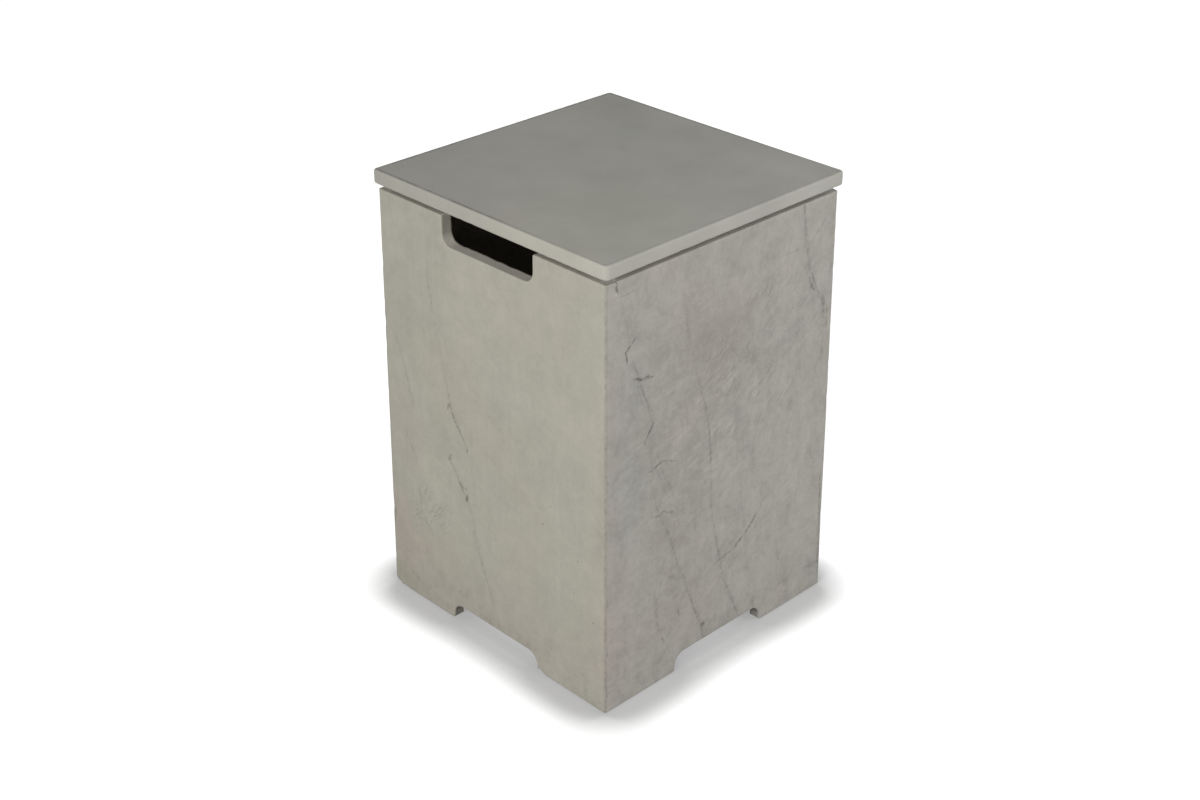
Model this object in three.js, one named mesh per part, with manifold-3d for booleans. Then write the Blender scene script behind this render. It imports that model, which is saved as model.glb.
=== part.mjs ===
// Propane tank cover table: a cast cement shell that drops over a gas bottle, and a loose slab lid.
// Millimetres, +Z up. The origin is on the floor, under the middle. The front wall faces -Y.

import * as THREE from 'three';
import { mergeVertices } from 'three/addons/utils/BufferGeometryUtils.js';
import Module from 'manifold-3d';

const wasm = await Module();
wasm.setup();

// Lid slab
const LID_SIDE = 402;
const LID_THICKNESS = 18;
const LID_CORNER_RADIUS = 6;
const LID_EDGE_RADIUS = 2.5;
const LID_OVERHANG = 4.5;

// Cast shell: its walls lean in by the mould's draft, so it is widest at the feet
const SHELL_HEIGHT = 570;
const FOOT_SPREAD = 6;
const WALL_THICKNESS = 16;
const OUTER_CORNER_RADIUS = 3;
const INNER_CORNER_RADIUS = 22;
const SHELL_EDGE_RADIUS = 1.5;

// Hand slot: cut down from the rim of the front and back walls
const SLOT_WIDTH = 158;
const SLOT_DEPTH = 37;
const SLOT_CORNER_RADIUS = 15;
const SLOT_MOUTH_RADIUS = 2;

// Foot notch: cut up from the bottom of every wall, which leaves four corner feet
const NOTCH_WIDTH = 160;
const NOTCH_HEIGHT = 24;
const NOTCH_CORNER_RADIUS = 17;
const NOTCH_MOUTH_RADIUS = 3;

// Lid locators: angle blocks under the lid, one inside each corner of the shell
const LOCATOR_LEG = 62;
const LOCATOR_THICKNESS = 14;
const LOCATOR_HEIGHT = 22;
const LOCATOR_CLEARANCE = 3;
const LOCATOR_LEAD_IN = 2;
const LOCATOR_LEAD_HEIGHT = 6;

// Rim bumpers and foot pads: round pads near the corners
const BUMPER_DIAMETER = 12;
const BUMPER_THICKNESS = 7;
const BUMPER_MARGIN = 8;
const FOOT_PAD_DIAMETER = 16;
const FOOT_PAD_THICKNESS = 2;
const FOOT_PAD_MARGIN = 3;
const PAD_EDGE_RADIUS = 0.4;

// How far a cutter runs past the faces that it cuts
const OVERRUN = 10;

// Facets of a quarter turn, and of a full turn
const CORNER_STEPS = 6;
const EDGE_STEPS = 3;
const OPENING_STEPS = 8;
const PAD_SEGMENTS = 32;

// Largest share of its own wall that a fillet may take
const FILLET_LIMIT_SHARE = 0.45;

// Heights and half sides that follow from the sizes above
const SHELL_BASE = FOOT_PAD_THICKNESS;
const SHELL_TOP = SHELL_BASE + SHELL_HEIGHT;
const LID_BASE = SHELL_TOP + BUMPER_THICKNESS;
const LID_TOP = LID_BASE + LID_THICKNESS;
const RIM_HALF = LID_SIDE / 2 - LID_OVERHANG;
const FOOT_HALF = RIM_HALF + FOOT_SPREAD;
const RIM_INNER_HALF = RIM_HALF - WALL_THICKNESS;

const QUARTER_TURN = Math.PI / 2;
const CORNERS = ['back_right', 'back_left', 'front_left', 'front_right'];

const cement = new THREE.MeshStandardMaterial({ color: 0x9f9c92, roughness: 0.8, metalness: 0 });
const lidCement = new THREE.MeshStandardMaterial({ color: 0x9c9b94, roughness: 0.62, metalness: 0 });
const blackRubber = new THREE.MeshStandardMaterial({ color: 0x202020, roughness: 0.85, metalness: 0 });
const clearRubber = new THREE.MeshStandardMaterial({ color: 0xb9b8b0, roughness: 0.4, metalness: 0 });

// A closed body through a stack of rings that have as many points each, lowest ring first.
function loft(rings) {
  const count = rings[0].length;
  const indices = [];
  for (let level = 0; level + 1 < rings.length; level += 1) {
    for (let i = 0; i < count; i += 1) {
      const here = level * count + i;
      const next = level * count + ((i + 1) % count);
      indices.push(here, next, next + count);
      indices.push(here, next + count, here + count);
    }
  }
  const topStart = (rings.length - 1) * count;
  const outline = rings[0].map((point) => new THREE.Vector2(point.x, point.y));
  for (const [a, b, c] of THREE.ShapeUtils.triangulateShape(outline, [])) {
    indices.push(a, c, b);
    indices.push(topStart + a, topStart + b, topStart + c);
  }
  const geometry = new THREE.BufferGeometry().setFromPoints(rings.flat());
  geometry.setIndex(indices);
  geometry.computeVertexNormals();
  return geometry;
}

// The points of an arc at one height, from one angle to another, both ends included.
function arcPoints(centreX, centreY, radius, from, to, z) {
  const points = [];
  for (let step = 0; step <= CORNER_STEPS; step += 1) {
    const angle = THREE.MathUtils.lerp(from, to, step / CORNER_STEPS);
    points.push(new THREE.Vector3(centreX + radius * Math.cos(angle), centreY + radius * Math.sin(angle), z));
  }
  return points;
}

// A square ring with round corners, counted anticlockwise from the +X side.
function squareRing(half, radius, z) {
  const centre = half - radius;
  const ring = [];
  for (let quarter = 0; quarter < CORNERS.length; quarter += 1) {
    const signX = quarter === 0 || quarter === 3 ? 1 : -1;
    const signY = quarter < 2 ? 1 : -1;
    const from = quarter * QUARTER_TURN;
    ring.push(...arcPoints(signX * centre, signY * centre, radius, from, from + QUARTER_TURN, z));
  }
  return ring;
}

// The levels of a block whose end edges are quarter rounds: each has a height and the edge's set-back there.
function easedLevels(bottom, top, radius) {
  const lower = [];
  for (let step = 0; step <= EDGE_STEPS; step += 1) {
    const angle = (step / EDGE_STEPS) * QUARTER_TURN;
    lower.push({ rise: radius * (1 - Math.cos(angle)), setBack: radius * (1 - Math.sin(angle)) });
  }
  const upper = [...lower].reverse();
  return [
    ...lower.map(({ rise, setBack }) => ({ z: bottom + rise, setBack })),
    ...upper.map(({ rise, setBack }) => ({ z: top - rise, setBack })),
  ];
}

// Half the outer width of the shell at a height: the draft spreads it evenly towards the feet.
function shellHalf(z) {
  return THREE.MathUtils.mapLinear(z, SHELL_BASE, SHELL_TOP, FOOT_HALF, RIM_HALF);
}

function makeLid() {
  const cornerRadius = Math.min(LID_CORNER_RADIUS, LID_SIDE * FILLET_LIMIT_SHARE);
  const edgeLimit = Math.min(cornerRadius, LID_THICKNESS) * FILLET_LIMIT_SHARE;
  const edgeRadius = Math.min(LID_EDGE_RADIUS, edgeLimit);
  const levels = easedLevels(LID_BASE, LID_TOP, edgeRadius);
  return loft(levels.map(({ z, setBack }) => squareRing(LID_SIDE / 2 - setBack, cornerRadius - setBack, z)));
}

// The outside of the shell as a solid block.
function makeShellBlock() {
  const edgeLimit = Math.min(OUTER_CORNER_RADIUS, WALL_THICKNESS) * FILLET_LIMIT_SHARE;
  const edgeRadius = Math.min(SHELL_EDGE_RADIUS, edgeLimit);
  const levels = easedLevels(SHELL_BASE, SHELL_TOP, edgeRadius);
  return loft(levels.map(({ z, setBack }) => squareRing(shellHalf(z) - setBack, OUTER_CORNER_RADIUS - setBack, z)));
}

// The room inside the shell, open at both ends, with the rim's and the feet's inner edges eased.
function makeShellCore() {
  const edgeRadius = Math.min(SHELL_EDGE_RADIUS, WALL_THICKNESS * FILLET_LIMIT_SHARE);
  const levels = easedLevels(SHELL_BASE, SHELL_TOP, edgeRadius);
  const ends = [
    { z: SHELL_BASE - OVERRUN, setBack: edgeRadius },
    { z: SHELL_TOP + OVERRUN, setBack: edgeRadius },
  ];
  const stack = [ends[0], ...levels, ends[1]];
  return loft(stack.map(({ z, setBack }) => {
    const half = shellHalf(z) - WALL_THICKNESS + setBack;
    return squareRing(half, INNER_CORNER_RADIUS + setBack, z);
  }));
}

// The cutter of an opening in the front wall's edge: the edge is at height 0 and the opening goes down
// from it. Its inner corners are round, and its mouth is rounded over into the edge.
function makeOpeningCutter({ width, depth, cornerRadius, mouthRadius, wallLine }) {
  const half = width / 2;
  const mouth = Math.min(mouthRadius, depth * FILLET_LIMIT_SHARE);
  const corner = Math.min(cornerRadius, depth - mouth, half * FILLET_LIMIT_SHARE);
  const outline = new THREE.Shape();
  outline.moveTo(-half - mouth, OVERRUN);
  outline.lineTo(-half - mouth, 0);
  outline.absarc(-half - mouth, -mouth, mouth, QUARTER_TURN, 0, true);
  outline.absarc(-half + corner, -depth + corner, corner, 2 * QUARTER_TURN, 3 * QUARTER_TURN, false);
  outline.absarc(half - corner, -depth + corner, corner, 3 * QUARTER_TURN, 4 * QUARTER_TURN, false);
  outline.absarc(half + mouth, -mouth, mouth, 2 * QUARTER_TURN, QUARTER_TURN, true);
  outline.lineTo(half + mouth, OVERRUN);
  outline.closePath();
  const length = WALL_THICKNESS + INNER_CORNER_RADIUS + 2 * OVERRUN;
  const options = { depth: length, bevelEnabled: false, curveSegments: OPENING_STEPS / 2 };
  const cutter = new THREE.ExtrudeGeometry(outline, options);
  cutter.rotateX(QUARTER_TURN);
  cutter.translate(0, -wallLine - OVERRUN + length, 0);
  return cutter;
}

function makeSlotCutter() {
  const cutter = makeOpeningCutter({
    width: SLOT_WIDTH,
    depth: SLOT_DEPTH,
    cornerRadius: SLOT_CORNER_RADIUS,
    mouthRadius: SLOT_MOUTH_RADIUS,
    wallLine: FOOT_HALF,
  });
  return cutter.translate(0, 0, SHELL_TOP);
}

function makeNotchCutter() {
  const cutter = makeOpeningCutter({
    width: NOTCH_WIDTH,
    depth: NOTCH_HEIGHT,
    cornerRadius: NOTCH_CORNER_RADIUS,
    mouthRadius: NOTCH_MOUTH_RADIUS,
    wallLine: FOOT_HALF,
  });
  cutter.rotateY(2 * QUARTER_TURN);
  return cutter.translate(0, 0, SHELL_BASE);
}

function toSolid(geometry) {
  const bare = geometry.clone();
  bare.deleteAttribute('normal');
  bare.deleteAttribute('uv');
  const merged = mergeVertices(bare);
  const vertProperties = new Float32Array(merged.attributes.position.array);
  const triVerts = new Uint32Array(merged.index.array);
  return new wasm.Manifold(new wasm.Mesh({ numProp: 3, vertProperties, triVerts }));
}

function toGeometry(solid) {
  const { vertProperties, triVerts } = solid.getMesh();
  const geometry = new THREE.BufferGeometry();
  geometry.setAttribute('position', new THREE.BufferAttribute(vertProperties, 3));
  geometry.setIndex(new THREE.BufferAttribute(triVerts, 1));
  geometry.computeVertexNormals();
  return geometry;
}

function makeShell() {
  let shell = toSolid(makeShellBlock()).subtract(toSolid(makeShellCore()));
  const slot = makeSlotCutter();
  const notch = makeNotchCutter();
  for (let wall = 0; wall < CORNERS.length; wall += 1) {
    const hasSlot = wall % 2 === 0;
    if (hasSlot) shell = shell.subtract(toSolid(slot));
    shell = shell.subtract(toSolid(notch));
    slot.rotateZ(QUARTER_TURN);
    notch.rotateZ(QUARTER_TURN);
  }
  return toGeometry(shell);
}

// One ring of a locator: an angle strip that follows the shell's back right inner corner.
function locatorRing(z, inset) {
  const centre = RIM_INNER_HALF - INNER_CORNER_RADIUS;
  const outerRadius = INNER_CORNER_RADIUS - LOCATOR_CLEARANCE;
  const thickness = Math.min(LOCATOR_THICKNESS, outerRadius * (1 - FILLET_LIMIT_SHARE / 2));
  const outer = outerRadius - inset;
  const inner = outerRadius - thickness + inset;
  const end = centre + outerRadius - LOCATOR_LEG + inset;
  return [
    new THREE.Vector3(centre + outer, end, z),
    ...arcPoints(centre, centre, outer, 0, QUARTER_TURN, z),
    new THREE.Vector3(end, centre + outer, z),
    new THREE.Vector3(end, centre + inner, z),
    ...arcPoints(centre, centre, inner, QUARTER_TURN, 0, z),
    new THREE.Vector3(centre + inner, end, z),
  ];
}

// A locator's foot is drawn in on every side, so that the lid finds its place as it comes down.
function makeLocator() {
  const bottom = LID_BASE - LOCATOR_HEIGHT;
  return loft([
    locatorRing(bottom, LOCATOR_LEAD_IN),
    locatorRing(bottom + LOCATOR_LEAD_HEIGHT, 0),
    locatorRing(LID_BASE, 0),
  ]);
}

// A round pad with eased edges, standing on height 0.
function makePad(diameter, thickness) {
  const radius = diameter / 2;
  const edge = Math.min(PAD_EDGE_RADIUS, thickness * FILLET_LIMIT_SHARE);
  const profile = [
    new THREE.Vector2(0, 0),
    new THREE.Vector2(radius - edge, 0),
    new THREE.Vector2(radius, edge),
    new THREE.Vector2(radius, thickness - edge),
    new THREE.Vector2(radius - edge, thickness),
    new THREE.Vector2(0, thickness),
  ];
  return new THREE.LatheGeometry(profile, PAD_SEGMENTS).rotateX(QUARTER_TURN);
}

function addMesh(parent, name, geometry, material) {
  const mesh = new THREE.Mesh(geometry, material);
  mesh.name = name;
  parent.add(mesh);
  return mesh;
}

// One copy of a corner piece for each corner, turned about the upright axis.
function addAtCorners(parent, prefix, geometry, material) {
  CORNERS.forEach((corner, quarter) => {
    const mesh = addMesh(parent, `${prefix}_${corner}`, geometry, material);
    mesh.rotation.z = quarter * QUARTER_TURN;
  });
}

const shellGroup = new THREE.Group();
addMesh(shellGroup, 'shell', makeShell(), cement);

const footPadCentre = FOOT_HALF - FOOT_PAD_MARGIN - FOOT_PAD_DIAMETER / 2;
const footPad = makePad(FOOT_PAD_DIAMETER, FOOT_PAD_THICKNESS).translate(footPadCentre, footPadCentre, 0);
addAtCorners(shellGroup, 'foot_pad', footPad, blackRubber);

const bumperCentre = RIM_HALF - BUMPER_MARGIN - BUMPER_DIAMETER / 2;
const bumper = makePad(BUMPER_DIAMETER, BUMPER_THICKNESS).translate(bumperCentre, bumperCentre, SHELL_TOP);
addAtCorners(shellGroup, 'rim_bumper', bumper, clearRubber);

const lidGroup = new THREE.Group();
addMesh(lidGroup, 'lid', makeLid(), lidCement);
addAtCorners(lidGroup, 'lid_locator', makeLocator(), blackRubber);

const coverTable = new THREE.Group();
coverTable.add(shellGroup, lidGroup);

export default coverTable;
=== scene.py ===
# Propane tank cover table: the looks of the cast shell, the slab lid and their rubber pads.
# Metres, +Z up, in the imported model's own frame. The front wall, with its hand slot, faces -Y.

import math

import bpy
import numpy as np
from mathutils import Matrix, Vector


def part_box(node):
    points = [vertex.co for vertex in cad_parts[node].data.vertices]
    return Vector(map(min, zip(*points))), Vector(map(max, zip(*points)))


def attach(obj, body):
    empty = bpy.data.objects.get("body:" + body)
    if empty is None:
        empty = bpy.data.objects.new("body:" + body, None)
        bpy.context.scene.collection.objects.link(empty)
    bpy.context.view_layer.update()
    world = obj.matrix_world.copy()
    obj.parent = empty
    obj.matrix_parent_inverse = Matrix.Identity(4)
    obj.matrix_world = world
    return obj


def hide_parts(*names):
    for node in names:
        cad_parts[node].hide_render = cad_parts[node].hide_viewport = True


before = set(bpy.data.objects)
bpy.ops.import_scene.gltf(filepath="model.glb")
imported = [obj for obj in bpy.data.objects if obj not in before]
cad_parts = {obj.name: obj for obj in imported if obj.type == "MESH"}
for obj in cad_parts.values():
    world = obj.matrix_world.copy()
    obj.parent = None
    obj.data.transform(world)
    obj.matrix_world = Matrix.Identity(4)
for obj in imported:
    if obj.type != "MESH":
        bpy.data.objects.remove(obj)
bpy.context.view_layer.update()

MM = 0.001
QUARTER = math.pi / 2

# Sizes read from the frame
SHELL_LOW, SHELL_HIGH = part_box("shell")
LID_LOW, LID_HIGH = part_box("lid")
FOOT_HALF = SHELL_HIGH.x
SHELL_BASE = SHELL_LOW.z
SHELL_TOP = SHELL_HIGH.z
SHELL_HEIGHT = SHELL_TOP - SHELL_BASE
LID_HALF = LID_HIGH.x

# Cast shell
LID_OVERHANG = 4.5 * MM
RIM_HALF = LID_HALF - LID_OVERHANG
WALL_THICKNESS = 16 * MM
OUTER_CORNER_RADIUS = 2.2 * MM
INNER_CORNER_RADIUS = 22 * MM
WALL_PITCH = 2 * FOOT_HALF
CORNER_BAND = 10 * MM
FAR_MAP = 10.0
WORN_EDGE_REACH = 2.4 * MM
WORN_CORNER_REACH = 2.6 * MM

# Openings: half width, depth, inner corner radius, mouth radius
HAND_SLOT = (79 * MM, 37 * MM, 15 * MM, 2 * MM)
FOOT_NOTCH = (80 * MM, 24 * MM, 17 * MM, 3 * MM)

# Walls in the order of the wall map: front, right, back, left
FRONT, RIGHT, BACK, LEFT = range(4)
WALLS = (FRONT, RIGHT, BACK, LEFT)
SLOTTED_WALLS = (FRONT, BACK)

# Fineness of the shell's sheet
COLUMN_SPACING = 3.9 * MM
CORNER_COLUMNS = 6
FACE_ROWS = 104
EDGE_ROWS = 5
THICKNESS_ROWS = 5
INSIDE_ROWS = 34
ARC_SAMPLES = 40
ARC_WEIGHT = 1.9
ARC_COLUMNS = 4
SOFT_BEND_OFFSETS = (-9 * MM, -4.5 * MM, 0.0, 4.5 * MM, 9 * MM)
ROWS_DRAWN_TO_EDGES = 0.035
BESIDE_GROOVE_COLUMNS = 1.5
LEAST_TURN = 1e-6
EDGE_BLEND = 95 * MM

# Casting faults worked into the shell's surface: how deep each is, and the cell of its noise
FACE_WAVE = 0.30 * MM
FACE_WAVE_CELL = 130 * MM
FACE_FADE = 6 * MM
GROOVE_DEPTH = 0.30 * MM
GROOVE_CELL = 22 * MM
GROOVE_REACH = (-4.6 * MM, -1.5 * MM, 0.0, 1.5 * MM, 4.6 * MM)
GROOVE_SHARES = (0.0, 0.35, 1.0, 0.35, 0.0)
GROOVE_MEAN, GROOVE_SPREAD, GROOVE_LEAST = 0.72, 0.45, 0.1
EDGE_ROUND = 1.3 * MM
EDGE_UNEVENNESS = 0.25
MOST_OF_MOUTH = 0.95
EDGE_CHIP = 1.6 * MM
EDGE_CHIP_CELL = 9 * MM
INSIDE_EDGE_ROUND = 0.6 * MM
INSIDE_EDGE_CHIP = 5.0 * MM
INSIDE_EDGE_CHIP_CELL = 7 * MM
CHIP_POWER = 1.5
CHIPS_ABOVE, RIM_INSIDE_CHIPS_ABOVE, CORNER_CHIPS_ABOVE, LID_CHIPS_ABOVE = 0.25, -0.05, 0.2, 0.3
WORN_POWER = 1.5
SECTION_ROUGHNESS = 0.22 * MM
SECTION_CELL = 6 * MM
INSIDE_ROUGHNESS = 0.7 * MM
INSIDE_CELL = 26 * MM
INSIDE_FADE = 8 * MM
CORNER_CHIP_BAND = 5 * MM
CORNER_CHIP_CELL = 11 * MM
CORNER_WORN_SHARE = 0.0008
CORNER_CHIP_SHARE = 0.006
WORN_FOOT_HEIGHT = 9 * MM
WORN_FOOT_DEPTH = 4 * MM
WORN_FOOT_REACH = 13 * MM

# The worn right mouth of the front foot notch: place along the wall, height, reach and how much is gone
WORN_NOTCH_MOUTH = (85 * MM, 10 * MM, 6 * MM, 4.5 * MM)

# Seeds of the random values
RIM_SEED, FOOT_SEED, RIM_INSIDE_SEED, FOOT_INSIDE_SEED = 11, 21, 31, 41
GROOVE_SEED, FACE_SEED, RIM_TOP_SEED, SOLE_SEED, INSIDE_SEED, CORNER_SEED = 61, 71, 81, 83, 91, 101
LID_CHIP_SEED, LID_WAVE_SEED, LID_RIPPLE_SEED = 201, 211, 221
NOISE_LATTICE = 32


def seeded_noise(x, y, z, cell, seed):
    """Smooth random values from -1 to 1: each corner of a lattice of cells has a seeded random number,
    and a point takes the smoothstep blend of the eight numbers round it."""
    size = NOISE_LATTICE
    lattice = np.random.default_rng(seed).uniform(-1, 1, (size, size, size))
    total = 0.0
    low, share = [], []
    for value in (x, y, z):
        scaled = np.asarray(value, float) / cell
        floor = np.floor(scaled)
        part = scaled - floor
        low.append(floor.astype(int))
        share.append(part * part * (3 - 2 * part))
    for corner in range(8):
        step = (corner & 1, corner >> 1 & 1, corner >> 2 & 1)
        weight = 1.0
        for axis in range(3):
            weight = weight * (share[axis] if step[axis] else 1 - share[axis])
        index = [(low[axis] + step[axis]) % size for axis in range(3)]
        total = total + weight * lattice[index[0], index[1], index[2]]
    return total


def layered_noise(x, y, z, cell, seed, layers=3):
    """Sum of seeded_noise at cells that halve, each layer with half the weight of the one before."""
    total, weight, whole = 0.0, 1.0, 0.0
    for layer in range(layers):
        total = total + weight * seeded_noise(x, y, z, cell / 2 ** layer, seed + layer)
        whole += weight
        weight /= 2
    return total / whole


def half_at(z):
    """Outer half width of the shell at a height: it runs straight from the foot to the narrower rim."""
    return FOOT_HALF + (RIM_HALF - FOOT_HALF) * (z - SHELL_BASE) / SHELL_HEIGHT


# Film creases: (along the wall, height, how plain it shows) from the rim down, in millimetres.
# Each one is followed by its own columns of the sheet, so where it doesn't show it still runs on.
CREASES = {
    FRONT: (
        ((-134, 577, 0), (-128, 487, 0), (-112, 400, 0), (-92, 300, 0), (-81, 243, 0.2),
         (-69, 231, 1.0), (-58, 212, 0.9), (-47, 198, 0.7), (-38, 179, 0.35), (-32, 143, 0.45),
         (-20, 108, 0.5), (-11, 84, 0.45), (3, 46, 0.25), (8, 2, 0)),
        ((-113, 577, 0), (-111, 520, 0.2), (-109, 480, 0.6), (-104, 454, 0.45), (-90, 390, 0.2),
         (-74, 322, 0.8), (-68, 304, 1.0), (-57, 289, 0.8), (-50, 283, 0.5), (-44, 268, 0.1),
         (-26, 200, 0), (4, 120, 0), (30, 2, 0)),
    ),
    RIGHT: (
        ((-186, 577, 0), (-176, 500, 0), (-160, 440, 0), (-146, 390, 0), (-134, 340, 0),
         (-124, 290, 0.1), (-112, 250, 0.5), (-103, 232, 0.8), (-91, 206, 0.9), (-77, 159, 0.8),
         (-65, 136, 0.75), (-54, 101, 0.7), (-39, 67, 0.8), (-29, 49, 1.0), (-26, 34, 0.6), (-22, 2, 0)),
        ((-178, 577, 0), (-171, 538, 0.25), (-166, 519, 0.3), (-161, 499, 0.4), (-158, 476, 0.5),
         (-149, 451, 0.75), (-142, 431, 0.8), (-128, 395, 0.7), (-125, 380, 0.5), (-119, 345, 0.15),
         (-108, 312, 0.4), (-100, 291, 0.55), (-87, 270, 0.45), (-83, 247, 0.3), (-72, 206, 0),
         (-58, 159, 0), (-30, 100, 0), (-6, 30, 0), (-2, 2, 0)),
        ((-73, 577, 0), (-71, 520, 0.1), (-67, 478, 0.4), (-59, 453, 0.3), (-44, 393, 0.45),
         (-33, 367, 0.5), (-26, 331, 0.7), (-22, 301, 0.9), (-20, 253, 0.8), (-19, 220, 0.6),
         (-12, 183, 0.6), (-2, 140, 0.7), (4, 113, 0.7), (16, 75, 0.6), (26, 39, 0.7), (32, 2, 0.2)),
        ((133, 577, 0.8), (135, 560, 0.9), (141, 521, 1.0), (149, 487, 1.0), (164, 453, 1.0),
         (180, 428, 0.9), (184, 400, 0.5), (176, 300, 0), (168, 2, 0)),
    ),
    BACK: (
        ((-120, 577, 0), (-124, 500, 0.5), (-131, 430, 0.7), (-126, 350, 0.5), (-112, 260, 0.8),
         (-104, 180, 0.6), (-108, 90, 0.3), (-110, 2, 0)),
        ((118, 577, 0), (122, 480, 0.3), (104, 390, 0.7), (86, 300, 0.8), (74, 220, 0.4),
         (52, 130, 0.6), (36, 50, 0.5), (34, 2, 0)),
    ),
    LEFT: (
        ((-92, 577, 0.3), (-86, 500, 0.6), (-70, 420, 0.8), (-62, 330, 0.5), (-44, 240, 0.3),
         (-38, 160, 0.6), (-20, 80, 0.4), (-16, 2, 0)),
        ((60, 577, 0), (66, 490, 0.4), (80, 400, 0.5), (84, 310, 0.8), (100, 220, 0.6),
         (96, 120, 0.3), (104, 40, 0.5), (108, 2, 0)),
    ),
}


def crease_line(crease, z):
    """Place along the wall, and plainness, of a crease at each height: straight runs between its points,
    averaged over a few heights so that its bends are soft."""
    points = np.array(crease, float)[::-1]
    heights = points[:, 1] * MM
    along, plain = 0.0, 0.0
    for offset in SOFT_BEND_OFFSETS:
        along = along + np.interp(z + offset, heights, points[:, 0] * MM)
        plain = plain + np.interp(z + offset, heights, points[:, 2])
    return along / len(SOFT_BEND_OFFSETS), plain / len(SOFT_BEND_OFFSETS)


def edge_outline(reach, opening=None):
    """The edge of one wall from end to end, as columns of (share from -1 to 1, along, drop into the wall,
    edge normal). It is straight, or follows an opening: a mouth arc, a straight side, an inner arc and a
    straight floor, mirrored about the middle. The share grows with length, faster round the arcs, so that
    each arc gets a few columns."""
    if opening is None:
        return np.array(((-1.0, -reach, 0, 0, -1), (1.0, reach, 0, 0, -1)))
    half, depth, inner, mouth = opening
    turn = np.linspace(0, QUARTER, ARC_SAMPLES)
    flat = np.zeros(1)
    along = np.concatenate((flat - reach, -(half + mouth) + mouth * np.sin(turn),
                            -(half - inner) - inner * np.cos(turn), flat))
    drop = np.concatenate((flat, mouth * (1 - np.cos(turn)), depth - inner + inner * np.sin(turn),
                           flat + depth))
    normal_along = np.concatenate((flat, np.sin(turn), np.cos(turn), flat))
    normal_drop = np.concatenate((flat - 1, -np.cos(turn), -np.sin(turn), flat - 1))
    radius = np.concatenate((flat + mouth, np.full(ARC_SAMPLES, mouth), np.full(ARC_SAMPLES, inner),
                             flat + inner))
    along = np.concatenate((along, -along[-2::-1]))
    drop = np.concatenate((drop, drop[-2::-1]))
    normal_along = np.concatenate((normal_along, -normal_along[-2::-1]))
    normal_drop = np.concatenate((normal_drop, normal_drop[-2::-1]))
    radius = np.concatenate((radius, radius[-2::-1]))
    bends = np.abs(np.diff(normal_along)) > LEAST_TURN
    weight = np.maximum(ARC_WEIGHT, ARC_COLUMNS * COLUMN_SPACING / (QUARTER * radius[1:]))
    steps = np.hypot(np.diff(along), np.diff(drop)) * np.where(bends, weight, 1.0)
    share = np.concatenate((flat, np.cumsum(steps)))
    share = share / share[-1] * 2 - 1
    return np.column_stack((share, along, drop, normal_along, normal_drop))


def wall_columns(wall):
    """One wall's columns. Knots stand at both ends and beside each crease, and the columns between two knots
    are evenly spread. Gives each column's share of every knot, its groove depth share per crease, whether it
    is beside each crease, and on which side of the nearest one it stands, from -1 to 1."""
    middle = 0.5 * (SHELL_BASE + SHELL_TOP)
    reach = half_at(middle) - OUTER_CORNER_RADIUS
    creases = CREASES[wall]
    heights = np.linspace(SHELL_BASE, SHELL_TOP, ARC_SAMPLES)
    means = [float(np.mean(crease_line(crease, heights)[0])) for crease in creases]
    stops = [-reach]
    for mean in means:
        stops.extend(mean + offset for offset in GROOVE_REACH)
    stops.append(reach)
    index = [0]
    for start, end in zip(stops, stops[1:]):
        beside_groove = (end - start) < BESIDE_GROOVE_COLUMNS * COLUMN_SPACING
        index.append(index[-1] + (1 if beside_groove else max(2, round((end - start) / COLUMN_SPACING))))
    columns = np.arange(index[-1] + 1)
    knots = np.stack([np.interp(columns, index, row) for row in np.eye(len(index))], axis=1)
    grooves = np.zeros((len(columns), len(creases)))
    beside = np.zeros((len(columns), len(creases)))
    for number in range(len(creases)):
        for place, share in enumerate(GROOVE_SHARES):
            column = index[1 + number * len(GROOVE_REACH) + place]
            grooves[column, number] = share
            beside[column, number] = 1.0
    middles = np.array(index[1 + len(GROOVE_REACH) // 2::len(GROOVE_REACH)])
    from_middle = columns[:, None] - middles[None, :len(creases)]
    nearest = from_middle[columns, np.argmin(np.abs(from_middle), axis=1)]
    reach_steps = np.arange(len(GROOVE_REACH)) - len(GROOVE_REACH) // 2
    side = np.interp(nearest, reach_steps, np.array(GROOVE_REACH) / GROOVE_REACH[-1])
    return knots, grooves, beside, side


def along_wall(wall, knots, z):
    """Where each column stands along its wall at each height: its shares of the knots' own places there."""
    reach = half_at(z) - OUTER_CORNER_RADIUS
    along = -knots[:, :1] * reach + knots[:, -1:] * reach
    for number, crease in enumerate(CREASES[wall]):
        line = crease_line(crease, z)[0]
        for place, offset in enumerate(GROOVE_REACH):
            along = along + knots[:, 1 + number * len(GROOVE_REACH) + place][:, None] * (line + offset)
    return along


def edge_points(outline, share):
    """The outline's points and normals at the columns' shares of its length."""
    along, drop, normal_along, normal_drop = (np.interp(share, outline[:, 0], values)
                                              for values in outline[:, 1:].T)
    length = np.hypot(normal_along, normal_drop)
    return along, drop, normal_along / length, normal_drop / length


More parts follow.
